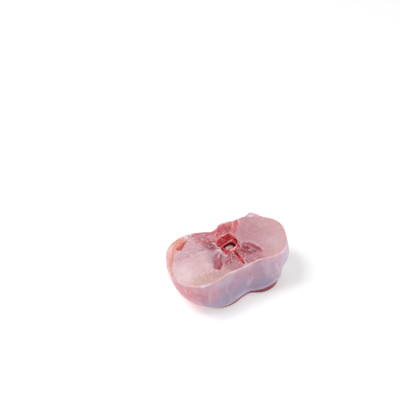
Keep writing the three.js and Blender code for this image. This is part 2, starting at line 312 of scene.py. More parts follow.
# Tones, as seen in even light.
PALE = colour(227, 191, 196)
PALE_BRIGHT = colour(238, 214, 217)
ROSE = colour(202, 151, 160)
ROSE_WARM = colour(221, 176, 180)
BEIGE = colour(216, 176, 168)
FIBROUS = colour(213, 166, 176)
BELLY_RED = colour(199, 114, 126)
PSOAS = colour(202, 90, 104)
PSOAS_LIGHT = colour(216, 110, 118)
DEEP = colour(162, 58, 74)
DEEP_LIGHT = colour(192, 134, 144)
MAUVE = colour(186, 134, 154)
MAUVE_DARK = colour(152, 58, 78)
RASPBERRY = colour(174, 66, 88)
CRIMSON = colour(158, 32, 50)
MAROON = colour(126, 28, 46)
WINE = colour(160, 58, 74)
BROWNISH = colour(184, 72, 70)
MEMBRANE_AND_HIGHLIGHT = colour(238, 214, 222)
SKIN_EDGE_AND_SHEEN = colour(226, 228, 250)
TORN_AND_HIGHLIGHT = colour(250, 212, 214)
VEIL = colour(214, 190, 208)
BLUSH = colour(228, 158, 156)
ORANGE = colour(238, 156, 136)
ORANGE_RED = colour(210, 72, 64)
CREAM = colour(246, 214, 204)
FLANK = colour(243, 200, 202)
PEACH = colour(240, 178, 166)
LAVENDER = colour(184, 146, 168)
LAVENDER_BLUE = colour(164, 146, 172)
LAVENDER_PALE = colour(210, 192, 208)
MAUVE_PINK = colour(186, 138, 164)
GREY_BLUE = colour(158, 146, 170)
SKIN_PINK = colour(220, 148, 158)
RIM_RED = colour(132, 52, 62)
FAT = colour(214, 168, 138)

# Swellings of the upper cut: centre, radii and height.
# Seams between its muscles: depth, half width, then the line as x, y, x, y.
SWELLINGS = (
    ((-22, -8), (15, 12), 0.85), ((-20, 11), (11, 6), 0.4), ((21, -1), (11, 15), 0.75),
    ((2.8, 14), (5, 3.4), 0.7), ((10.8, 13.4), (3.4, 3), 0.4), ((-14.4, -11), (2.2, 3.6), 0.4),
)
SEAMS = (
    (0.4, 1.3, -33, 2, -26, 0.2, -20, 2.6, -14, 2.6, -8, 1.5),
    (0.6, 1.1, -17.2, -12.6, -14.4, -6.4, -11, -2.4, -7.6, -0.4),
    (0.6, 1.1, -15.4, -14.6, -11.8, -11.4, -10.9, -8, -9, -5.2, -7.4, -3.6),
    (0.7, 1.1, 6.8, -2.8, 8.8, -5.8, 10, -8, 10.5, -10.6),
    (0.7, 1.1, 10.2, -1.8, 12.4, -4.6, 13.8, -8, 14.5, -12),
    (0.4, 1, 8, -8.8, 9.8, -10.6, 11.4, -13, 12.6, -16, 13.1, -18.4),
    (0.6, 1.2, 7.2, 6.4, 9.6, 9.4, 12.6, 12.6, 15.6, 17),
    (0.5, 1.1, 6.6, 10.6, 9, 14, 11.4, 17.4),
)


def from_rim(xy):
    """The direction of each point in degrees, and its distance from the edge of the upper cut."""
    angle = np.arctan2(xy[:, 1], xy[:, 0])
    return np.degrees(angle), reach(angle, 0.0) - np.hypot(xy[:, 0], xy[:, 1])


def cut_height(xy):
    """Height of the upper cut over its plane: swellings, seams and the groove beside the flap."""
    height = np.zeros(len(xy))
    for at, radii, rise in SWELLINGS:
        height += rise * bell(np.hypot(*((xy - np.array(at)) / np.array(radii)).T), 1)
    for deep, width, *line in SEAMS:
        height -= deep * bell(line_distance(xy, line)[0], width)
    degrees, inward = from_rim(xy)
    thickness = flap_thickness(degrees)
    return height - FLAP_GROOVE * np.clip(thickness, 0, 1) * bell(inward - thickness, FLAP_GROOVE_WIDTH)


class Paint:
    """Colour, relief in millimetres and wetness that gather on a set of points."""

    def __init__(self, points, base):
        self.points = points
        self.colour = np.broadcast_to(base, (len(points), 3)).copy()
        self.relief = np.zeros(len(points))
        self.wet = np.full(len(points), 0.5)

    def lay(self, share, tone, relief=0.0, wet=None):
        self.colour = mix(self.colour, tone, share)
        self.relief = self.relief + relief * share
        if wet is not None:
            self.wet = self.wet * (1 - share) + wet * share


def waver(xy, seed):
    """The points moved a little, so that drawn edges run unevenly."""
    p = with_height(xy)
    wide = np.column_stack([noise(p, 3.2, seed), noise(p, 3.2, seed + 1)]) * 0.4
    fine = np.column_stack([noise(p, 0.9, seed + 2), noise(p, 0.9, seed + 3)]) * 0.26
    return xy + wide + fine


# Strands, fibres and flecks between the muscles: tone, width, share, relief, then the line as x, y, x, y.
CUT_STROKES = (
    # around the left of the bone; the pale torn strokes at its corners are torn tissue with painted
    # highlights
    (MAROON, 0.8, 0.75, -0.3, -6.9, 1.9, -7, 0.5),
    (MAUVE_DARK, 1, 0.8, -0.3, -8.6, 4.2, -8.1, 2.6),
    (BLUSH, 0.9, 0.7, 0.2, -6.8, 4.6, -7.4, 3.2, -7.9, 1.8),
    (TORN_AND_HIGHLIGHT, 1, 1, 0.35, -7.7, 7.1, -7.1, 5.5),
    (MEMBRANE_AND_HIGHLIGHT, 1, 0.6, 0.2, -9.8, 0, -8, 0.6, -7, -0.5, -6.4, -0.8),
    (TORN_AND_HIGHLIGHT, 1, 1, 0.35, -8.3, 0.9, -7.2, -0.2, -6.8, -1.4),
    (BROWNISH, 0.9, 0.7, -0.1, -7, 7, -5.8, 8, -4.4, 8.3),
    (ORANGE_RED, 1.3, 0.6, -0.2, -10.9, 11.3, -10.4, 10.3),
    (BROWNISH, 1.4, 0.75, -0.2, -8.8, 9.5, -8.2, 8.7),
    (CREAM, 0.6, 0.5, 0.1, -10.2, 9.8, -9.9, 8.4, -8.9, 7.7),
    (ROSE_WARM, 1.6, 0.6, 0.2, -7.2, 9.2, -7, 10.8, -4.9, 11),
    (BELLY_RED, 1.2, 0.6, -0.1, -4.8, 9.4, -4.4, 13.6, -3.6, 16),
    (CREAM, 0.8, 0.85, 0.2, -3.9, 11.3, -3.2, 12.6, -2.3, 13.2),
    (MEMBRANE_AND_HIGHLIGHT, 0.6, 0.5, 0.1, -1.6, 12.8, -1.1, 14.4),
    (BELLY_RED, 0.7, 0.5, -0.1, -12.6, 7.4, -13.6, 10.4, -13, 14),
    (BELLY_RED, 0.9, 0.6, -0.1, -17.9, 8.8, -18.4, 6.8),
    (MEMBRANE_AND_HIGHLIGHT, 0.8, 0.7, 0.15, -15.2, 7.8, -14.6, 7.2),
    (MEMBRANE_AND_HIGHLIGHT, 0.6, 0.5, 0.1, -17.6, 7.9, -17, 6.4),
    (MEMBRANE_AND_HIGHLIGHT, 0.8, 0.55, 0.1, -24.6, 9.8, -22.4, 9.2),
    (MEMBRANE_AND_HIGHLIGHT, 0.8, 0.5, 0.1, -20.6, 3, -18, 2.8, -14.6, 2.2, -12.4, 1.2),
    (ROSE, 0.7, 0.5, -0.1, -25, -0.6, -22.6, 0.4, -19.6, 1.6),
    # the tongue of muscle on the left and what lies beside it
    (WINE, 1, 0.8, -0.25, -8.2, -1.8, -11, -3.6, -12.8, -5.8),
    (TORN_AND_HIGHLIGHT, 0.7, 0.6, 0.15, -8.2, -2.6, -10.2, -4, -11.4, -6),
    (MEMBRANE_AND_HIGHLIGHT, 0.6, 0.55, 0.15, -8.6, -3.4, -10, -5.2, -11.2, -7.6, -11.9, -9.6),
    (BROWNISH, 1.1, 1, -0.35, -7.8, -3.9, -9.5, -5.6, -10.8, -7.8, -11.3, -10.4),
    (MAROON, 0.7, 0.7, -0.2, -7.4, -3.8, -8.4, -4.9),
    (CRIMSON, 0.8, 0.7, -0.2, -17.2, -11.4, -17, -13.2, -16, -14.4, -15, -14.3, -13.4, -13.4),
    (WINE, 0.9, 0.8, -0.2, -14, -13.6, -12.2, -12.2, -11.2, -10.4),
    (WINE, 0.7, 0.6, -0.2, -17, -11, -15.8, -7.8, -13.8, -4.6, -10.4, -2.2),
    (MAROON, 1.2, 0.75, -0.3, -12.7, -11.3, -12.2, -11.8),
    # torn tissue at the bone's lower-left corner, with a painted highlight
    (TORN_AND_HIGHLIGHT, 0.8, 1, 0.3, -7.5, -4.2, -6.7, -4.9, -6.4, -6.2, -5.2, -6),
    (MAUVE_DARK, 0.8, 0.6, -0.2, -6.9, -3.6, -7.9, -4.6, -8.7, -5.8),
    (BROWNISH, 1.1, 0.8, -0.2, -9.7, -11.3, -8.4, -10.7, -7, -10.3, -5.4, -9.5),
    (BLUSH, 0.6, 0.5, 0.15, -9.6, -10.2, -7.6, -9.6, -5.8, -8.6),
    (MEMBRANE_AND_HIGHLIGHT, 0.6, 0.6, 0.1, -12.8, -13.4, -11.4, -12.4),
    (MEMBRANE_AND_HIGHLIGHT, 0.7, 0.6, 0.1, -18.2, -15.8, -16, -15.4),
    (MEMBRANE_AND_HIGHLIGHT, 0.6, 0.5, 0.1, -17.9, -14.3, -17.3, -14.9),
    # fibres that fan out from the left of the arch
    (WINE, 0.8, 0.7, -0.25, -2.6, -5.4, -4.6, -7, -6.8, -8, -8, -8.7),
    (WINE, 0.7, 0.55, -0.2, -3.2, -6.6, -4.8, -9.2, -6.4, -11.8, -7.4, -14.2),
    (WINE, 0.6, 0.5, -0.2, -2.8, -8.4, -3.9, -11.6, -4.4, -15),
    (MAUVE_DARK, 0.9, 0.8, -0.35, -1.9, -6.5, -2.5, -8.8, -2.7, -11.4, -2.3, -13.8),
    (MEMBRANE_AND_HIGHLIGHT, 0.6, 0.5, 0.15, -2.9, -6.8, -4.4, -9.4, -5.2, -12.2, -5.9, -14.2),
    (MEMBRANE_AND_HIGHLIGHT, 0.5, 0.45, 0.1, -4.8, -6, -6.8, -7.2, -8.2, -7.6),
    (MEMBRANE_AND_HIGHLIGHT, 0.5, 0.45, 0.1, -7.2, -11.6, -8.4, -13.4, -9.2, -15.2),
    (VEIL, 0.7, 0.5, 0.1, -6.6, -6.6, -5.2, -8, -4.6, -9.4),
    (VEIL, 0.6, 0.5, 0.1, -2.6, -14.2, -3, -16.4),
    (DEEP, 0.8, 0.4, -0.1, -8.6, -17.8, -4.6, -18.4, -1.6, -18.6),
    # between the process and the right streak
    (MAUVE_DARK, 0.9, 0.6, -0.25, 2.2, -4.4, 3.2, -5.4, 3.4, -7),
    (MAUVE_DARK, 0.7, 0.6, -0.25, 2, -7.6, 2.5, -9.4, 2, -11.2),
    (WINE, 0.7, 0.5, -0.2, 4.8, -4.6, 5.6, -7.4, 5.4, -10),
    (WINE, 0.6, 0.5, -0.2, 6.6, -5.2, 7, -8, 6.6, -10.4),
    (VEIL, 0.7, 0.7, 0.15, 4.5, -9.6, 3.6, -11.4, 3, -13.2),
    (VEIL, 0.6, 0.6, 0.1, 1.5, -14.6, 0.9, -16.8, 0.6, -18.4),
    (VEIL, 0.5, 0.5, 0.1, 2.3, -6.2, 1.9, -7),
    (DEEP, 0.6, 0.4, -0.1, 3, -14.4, 2, -16.8, 1.4, -18.8),
    (BROWNISH, 0.5, 0.35, 0, 1.4, -19, 5.6, -18.6, 9.2, -18.2),
    # the right streak
    (MAUVE_DARK, 1.9, 0.8, -0.35, 7.2, -2.4, 7.8, -3.8, 8.5, -5.2),
    (MAROON, 1.3, 0.85, -0.45, 8.5, -5.2, 9.4, -7.2, 10.3, -8.8, 10.7, -10.6),
    (WINE, 1.2, 0.8, -0.3, 9.2, -1.8, 11.2, -3.2, 12.2, -4.6),
    (CRIMSON, 1.3, 0.85, -0.45, 12.2, -4.6, 13.4, -6.8, 14.2, -9.2, 14.5, -11.8),
    # pale ridge inside the streak, with a painted highlight on it
    (SKIN_EDGE_AND_SHEEN, 1, 1, 0.4, 7.9, -8.4, 8.9, -9, 9.5, -10),
    (VEIL, 0.8, 0.8, 0.2, 9.6, -10.3, 10.3, -11.8, 10.9, -13.4, 11.8, -16),
    (BROWNISH, 0.8, 0.4, -0.1, 12, -13.6, 12.8, -16, 13.4, -18.4),
    (VEIL, 0.8, 0.5, 0.15, 7.4, -0.4, 8.6, -1, 10, -2),
    (ROSE, 0.7, 0.5, 0.1, 15.4, -3.4, 15.9, -7.4, 15.6, -11),
    # the right of the bone and the belly side
    # torn tissue at the bone's right corner, with a painted highlight
    (TORN_AND_HIGHLIGHT, 1.1, 1, 0.4, 5, -4.2, 5.9, -3.2, 6.4, -1.8),
    (BLUSH, 0.9, 0.7, 0.15, 6.8, 3, 8.2, 4.5, 9.6, 5.5),
    (MEMBRANE_AND_HIGHLIGHT, 0.9, 0.7, 0.2, 7.5, 6.2, 8.2, 7.6, 9, 8.8),
    (BROWNISH, 0.7, 0.7, -0.2, 6.8, 5.6, 7.4, 7.8),
    (BLUSH, 0.5, 0.7, 0.1, 6.4, 5, 6.3, 8.8),
    (MAROON, 0.6, 0.5, -0.2, 6.6, 1.4, 6.2, -1),
    (CRIMSON, 0.7, 0.5, -0.2, 0, 10.8, 2.6, 11.2, 5, 11),
    (BLUSH, 0.7, 0.6, 0.15, -2.4, 9.9, 0.2, 10.6, 2.6, 10.5),
    (PSOAS_LIGHT, 1.2, 0.8, 0.15, 6.2, 9.8, 8, 12, 9.6, 13.8),
    (BROWNISH, 1, 0.7, -0.35, 6.4, 11.4, 7.4, 12.6, 8.6, 14.4),
    (MEMBRANE_AND_HIGHLIGHT, 0.8, 0.75, 0.15, 9.6, 13.4, 11, 15.4, 12.2, 18),
    (CREAM, 0.9, 0.6, 0.1, 14.4, 13.6, 15.6, 15.6, 15.2, 18),
    (BLUSH, 1, 0.6, -0.1, 9, 8, 12, 11, 15.4, 14.8),
    (MEMBRANE_AND_HIGHLIGHT, 0.7, 0.6, 0.1, 3.6, 17.2, 5.2, 18.8),
    # painted highlights: white glints along the tenderloin's top edge
    (MEMBRANE_AND_HIGHLIGHT, 1, 0.8, 0.1, 8.6, 18.4, 10.4, 19.4, 12.6, 18.6),
    (CREAM, 0.7, 0.5, 0.1, 6.4, 16, 7.2, 18.4),
    (WINE, 0.9, 0.7, -0.2, 17.8, 18.4, 19.2, 19.2),
    (SKIN_PINK, 1.4, 0.8, 0.15, 19.4, 18.7, 23.4, 18.9, 27, 20),
    # pale membrane on the flank's stub, brightened with a painted highlight
    (SKIN_EDGE_AND_SHEEN, 2, 1, 0.25, 23.4, 16.9, 26, 17.3),
    (SKIN_PINK, 0.9, 0.7, 0.1, 28.4, 15.8, 29.8, 14.4, 31, 12.6),
    (BROWNISH, 0.9, 0.5, -0.1, 34, 8.2, 34.9, 6.8),
    # the flap's inner line and strands
    (ORANGE, 1.6, 0.85, -0.1, -20.4, 18.4, -25, 16.6, -28.6, 14.8, -31.4, 12, -33.2, 8.8, -35, 6.3, -36.6,
     3.4, -38.5, 0.8),
    (ORANGE, 0.9, 0.7, 0, -38.5, 0.8, -40, -2.2, -41, -6, -41, -10, -40.4, -14, -39, -17),
    (CREAM, 0.7, 0.6, 0.15, -27, 14.6, -25.2, 14, -23.6, 14.6),
    (CREAM, 0.8, 0.6, 0.15, -34.8, 10.2, -32.2, 13.4, -29.4, 16, -26.4, 17.8),
    (BLUSH, 1.3, 0.6, 0, -31.2, 16, -27.6, 18.4, -23, 20),
    (BLUSH, 0.6, 0.6, 0.15, -27.6, 12.2, -25.6, 14.2, -22.6, 15.9),
    (ORANGE_RED, 0.9, 0.6, -0.1, -34.4, 4.6, -33.4, 4),
    (ORANGE, 0.7, 0.6, -0.1, -39.6, -3.6, -38.2, -2.8, -36.6, -3.4),
)


def paint_cut(xy, seed):
    """The cut face of the meat: loins, belly side, tenderloins, the spine's muscles and the flap."""
    p = waver(xy, seed)
    x, y = p[:, 0], p[:, 1]
    solid = with_height(xy)
    degrees, inward = from_rim(p)
    near_bone = bell(np.maximum(-inside_distance(xy, BONE_OUTLINE), 0), 3.5)
    cut = Paint(xy, mix(PALE, ROSE, step(-14, 8, x)))
    cut.lay(step(17, 34, x), ROSE_WARM)
    cut.lay(step(14, 24, x) * step(0, -9, y) * 0.7, PALE)
    cut.lay(step(-9, -19, y) * step(18, -14, x) * 0.85, BEIGE)
    cut.lay(step(-10, -19, y) * step(6, 20, x) * 0.6, BEIGE)

    def dab(at, radii, turn, soft, share, tone, relief=0.0, wet=None):
        cut.lay(spot(p, at, radii, turn, soft) * share, tone, relief, wet)

    # painted highlight: a broad patch of gloss on the left loin
    dab((-35.6, -7.6), (5.4, 7), -20, 0.8, 0.75, PALE_BRIGHT)
    dab((-13, -4), (4, 9), -15, 0.8, 0.6, MAUVE)
    dab((12, 5), (4, 4.5), -30, 0.9, 0.5, DEEP_LIGHT)
    dab((-13, -18.5), (8, 4), 0, 0.9, 0.6, mix(BEIGE, DEEP_LIGHT, 0.6))
    dab((-22, -18), (5, 3), 0, 0.9, 0.35, DEEP_LIGHT)

    belly = region(p, (-35, 3.4, -26, 0.8, -20, 2.8, -14, 2.8, -7, 2.4, -5, 9, -3.4, 15.6, -8, 19, -15, 22,
        -21, 20, -22, 13.5, -29, 9.6), 1.6)
    cut.lay(belly * 0.75, FIBROUS)
    cut.lay(belly * step(-18, -12.5, x) * step(3, 9, y) * 0.85, BELLY_RED)
    dab((-12, 13), (2.4, 2), 20, 0.8, 0.4, BELLY_RED, -0.1)
    dab((-9.6, 5), (3.2, 4), 15, 0.8, 0.95, mix(MAUVE_DARK, MAROON, 0.3), -0.3)
    dab((-11, 6.6), (1.2, 1.8), 15, 0.8, 0.5, MAUVE, 0.1)

    tenderloin = region(p, (-3.6, 15.8, -4.6, 10.8, -2, 8.4, 5, 10, 8.2, 12.6, 9.8, 15.6, 11.2, 19, 6, 21,
        -1, 19), 0.7)
    cut.lay(tenderloin, PSOAS, 0.1)
    cut.lay(tenderloin * step(13.5, 18, y) * 0.6, PSOAS_LIGHT, 0.1)
    second = region(p, (6.2, 9.4, 7.6, 6.8, 10.4, 9.2, 13.6, 12.6, 17.4, 17.4, 15, 20, 10.8, 18, 9.2, 14),
        0.7)
    cut.lay(second * 0.9, PSOAS_LIGHT, 0.1)
    grain = noise(np.column_stack([x + 0.4 * y, 0.35 * (y - 0.4 * x), 0 * x]), 0.9, seed + 71)
    cut.lay(step(0.1, 0.5, grain) * np.maximum(tenderloin, second) * 0.3, BLUSH, 0.12)
    dab((16.6, 17.2), (1.4, 1.6), 0, 0.7, 0.6, BLUSH)
    dab((9.4, 17.0), (2.2, 1.8), 30, 0.8, 0.5, ORANGE, 0.1)
    belly_edge = step(40, 52, degrees) * step(104, 90, degrees) * step(2.6, 0.8, inward)
    cut.lay(belly_edge * step(-0.15, 0.15, noise(solid, 1.3, seed + 70)), TORN_AND_HIGHLIGHT, 0.25, 0.9)

    beside_left = region(p, (-6.4, -4.6, -0.8, -4.2, -0.6, -19.6, -6.6, -20, -13, -17, -11.6, -12, -10.4,
        -7.4), 1.3)
    cut.lay(beside_left * 0.9, mix(DEEP, DEEP_LIGHT, step(-7, -16, y)))
    beside_right = region(p, (0.8, -4, 6.6, -2.6, 9.4, -7, 10.6, -11, 12.4, -18.8, 0.4, -19.6), 1.1)
    cut.lay(beside_right, mix(DEEP, DEEP_LIGHT, step(-8.5, -13, y + 0.35 * (x - 5)) * 0.85))
    dab((-9, -8.2), (1.7, 3), -25, 0.7, 0.8, mix(MAUVE, DEEP_LIGHT, 0.3), 0.1)

    reach_out = np.hypot(x + 0.5, y + 2.5)
    fan = np.column_stack([np.arctan2(x + 0.5, -y - 2.5) * 9, reach_out * 0.3, 0 * x])
    fibres = layered_noise(fan, 1.1, seed + 60, 2) * np.clip(beside_left + beside_right, 0, 1)
    cut.lay(step(0.15, 0.5, fibres) * 0.45, mix(TORN_AND_HIGHLIGHT, BLUSH, 0.5), 0.15)
    cut.lay(step(-0.05, -0.45, fibres) * step(-17, -11, y) * 0.6, WINE, -0.2)

    tongue = region(p, (-8, -1, -11, -2.6, -14.2, -6, -16.6, -9.8, -17.4, -12.4, -17, -13.8, -16, -14.6,
        -14.9, -14.6, -13.4, -13.6, -12, -12.4, -11.2, -10.8, -11.2, -9, -10.4, -7, -8.8, -4.6), 0.5)
    cut.lay(tongue * 0.9, mix(mix(DEEP_LIGHT, BELLY_RED, 0.5), RASPBERRY, step(-4, -9, y)), 0.05, 0.8)
    cut.lay(tongue * step(-10, -14, y) * 0.45, CRIMSON, 0, 0.9)
    tongue_line = bell(line_distance(p, ((-9, -3), (-13, -7.4), (-14.4, -11)))[0], 0.9)
    cut.lay(tongue * tongue_line * 0.35, MAUVE_PINK, 0.15)
    streak = region(p, (6.6, -2.2, 8.8, -1, 12, -4, 13.6, -7, 14.6, -11.8, 13.4, -14.8, 11.4, -12.6, 9.4,
        -8.4, 7.4, -5), 0.7)
    cut.lay(streak * 0.95, mix(RASPBERRY, DEEP_LIGHT, step(-9.5, -12.5, y) * 0.7), -0.1, 0.7)

    stub = region(p, (22.6, 17.6, 25.6, 15.6, 28.6, 13.8, 31, 17, 27.4, 22, 18, 21, 18.6, 18.6), 0.6)
    cut.lay(stub * 0.8, mix(SKIN_PINK, FLANK, 0.75), 0.15)

    thickness = flap_thickness(degrees)
    flap = step(-0.4, 0.5, thickness - inward) * step(0.05, 0.6, thickness)
    cut.lay(flap, FLANK, 0, 0.6)
    cut.lay(flap * bell(inward - thickness + 1.6, 2.2) * step(1.5, 4, thickness) * 0.7, PEACH)
    cut.lay(flap * bell(inward - thickness, 1.3) * 0.6, ORANGE)
    cut.lay(flap * spot(p, (-26.4, 19), (6, 3.4), -30, 0.8) * 0.8, BLUSH)
    torn_seam = bell(inward - thickness - 1.2, 0.9) * step(1.5, 4, thickness) * step(-40, -32, x)
    cut.lay(torn_seam * step(-0.1, 0.3, noise(solid, 1.2, seed + 72)) * 0.8, mix(TORN_AND_HIGHLIGHT, BLUSH, 0.3), 0.2)
    cut.lay(region(p, (-19.6, 16.6, -20, 15, -24, 12.4, -26.6, 9.8, -28.8, 11, -28.8, 13, -26, 14.6, -23.4,
        15.8), 0.6), ORANGE_RED, -0.15)
    # painted highlight on the flap's outer edge near its tip
    cut.lay(flap * step(0.8, 0.2, inward) * step(134, 146, degrees % 360) * 0.25, MEMBRANE_AND_HIGHLIGHT)
    dab((-22.2, 17.6), (2.6, 1.8), -20, 0.8, 0.5, ORANGE)

    broken = 0.55 + 0.45 * step(-0.4, 0.2, noise(solid, 1.8, seed + 50))
    for tone, width, share, relief, *line in CUT_STROKES:
        cut.lay(stroke(p, line, width, 0.35, 0.4) * share * broken, tone, relief)
    dab((-16.4, 20.2), (3.4, 1), -8, 0.5, 0.95, MEMBRANE_AND_HIGHLIGHT, 0.2, 0.9)
    dab((-18.9, 18.8), (1.2, 1.5), -30, 0.5, 0.95, MEMBRANE_AND_HIGHLIGHT, 0.2, 0.9)
    dab((-18.6, 15.5), (0.9, 0.7), 0, 0.5, 0.9, MEMBRANE_AND_HIGHLIGHT, 0.25, 0.9)

    cut.lay(step(-24, -12, degrees) * step(34, 14, degrees) * bell(inward - 0.9, 0.5) * 0.6, BLUSH, 0, 0.7)
    dab((30, -13), (1.2, 1.6), -35, 0.6, 0.8, VEIL)

    # moist grain: pale flecks, partly painted glints of wet fibre ends, red pits and clouds, coarser and
    # rougher near the bone
    rough = near_bone + 0.7 * belly * step(-22, -14, x) + 0.6 * (tenderloin + second + beside_left)
    rough = np.clip(rough, 0, 1)
    fleck_field = noise(solid * np.array([0.75, 1, 1]), 0.75, seed + 20) + 0.4 * noise(solid, 2.4, seed + 21)
    flecks = step(0.2, 0.6, fleck_field)
    cut.lay(flecks * (0.26 + 0.45 * belly) * (1 - 0.5 * tenderloin), MEMBRANE_AND_HIGHLIGHT, 0.12)
    long_flecks = step(0.3, 0.6, noise(solid * np.array([1, 0.45, 1]), 0.8, seed + 24))
    cut.lay(long_flecks * step(-10, -20, x) * step(-1, -8, y) * 0.7, MEMBRANE_AND_HIGHLIGHT, 0.12, 0.9)
    pits = step(0.25, 0.6, noise(solid, 0.9, seed + 30))
    cut.lay(pits * (0.12 + 0.3 * belly + 0.34 * rough), RASPBERRY, -0.14)
    # pale torn tissue close round the bone, partly painted highlights
    torn = step(0.2, 0.55, noise(solid, 0.8, seed + 31)) * bell(-inside_distance(xy, BONE_OUTLINE) - 0.6, 1.4)
    cut.lay(torn * 0.75, TORN_AND_HIGHLIGHT, 0.25, 0.9)
    strands = layered_noise(solid, 1.5, seed + 10)
    blotch = layered_noise(solid, 6, seed + 40)
    cut.colour *= (1 + (0.07 + 0.12 * rough) * strands + 0.03 * blotch)[:, None]
    cut.relief += (0.06 + 0.18 * rough) * strands + 0.1 * blotch
    return cut


# Marks on the side: degrees, height, half width in degrees, half height, share and tone.
WALL_SPOTS = (
    # the pale spot at -176 degrees is a painted highlight
    (-176, 19, 5, 7, 0.55, MEMBRANE_AND_HIGHLIGHT), (-158, 18, 9, 6, 0.55, BELLY_RED), (-147, 14, 1.6, 6, 0.35, WINE),
    (-163, 9, 6, 5, 0.35, SKIN_PINK), (-140, 12, 5, 4, 0.6, MAUVE), (-142, 20.5, 7, 3, 0.4, SKIN_PINK),
    (-124, 20.6, 13, 2.6, 0.5, LAVENDER_PALE), (-137, 17, 5, 5, 0.3, SKIN_PINK),
    (-122, 23.4, 12, 1.4, 0.4, FAT), (-125, 9, 9, 5, 0.45, GREY_BLUE), (-106, 17, 10, 5, 0.4, MAUVE_PINK),
    (-101, 9, 8, 5, 0.5, GREY_BLUE), (-106, 4.2, 14, 1.3, 0.5, LAVENDER_PALE),
    (-88, 17.5, 3, 3, 0.4, SKIN_PINK), (-88, 17, 1.5, 0.9, 0.6, CRIMSON),
    (-86, 14.2, 1.2, 0.7, 0.4, CRIMSON), (-90, 10.5, 4, 3, 0.3, MEMBRANE_AND_HIGHLIGHT),
    (-83, 12.5, 2.4, 1.6, 0.3, MEMBRANE_AND_HIGHLIGHT), (-87, 7, 2, 2.2, 0.35, DEEP_LIGHT),
    (-71, 17.5, 7, 4, 0.55, MAUVE_PINK), (-64, 23.4, 11, 1.2, 0.5, BELLY_RED),
    (-66, 9, 7, 4, 0.45, GREY_BLUE), (-50, 9, 5, 2.6, 0.4, GREY_BLUE), (-47, 15, 1.2, 4, 0.4, MEMBRANE_AND_HIGHLIGHT),
    (-58, 17, 4, 5, 0.3, LAVENDER_PALE), (-98, 19, 1.4, 0.8, 0.5, FAT), (-54, 10.5, 1.5, 0.8, 0.7, FAT),
    (-121, 6, 1.4, 0.8, 0.6, FAT), (-13, 16, 1.4, 5, 0.5, MEMBRANE_AND_HIGHLIGHT), (-5, 16, 4, 9, 0.35, ROSE_WARM),
    (40, 16, 2, 1, 0.4, CRIMSON),
)


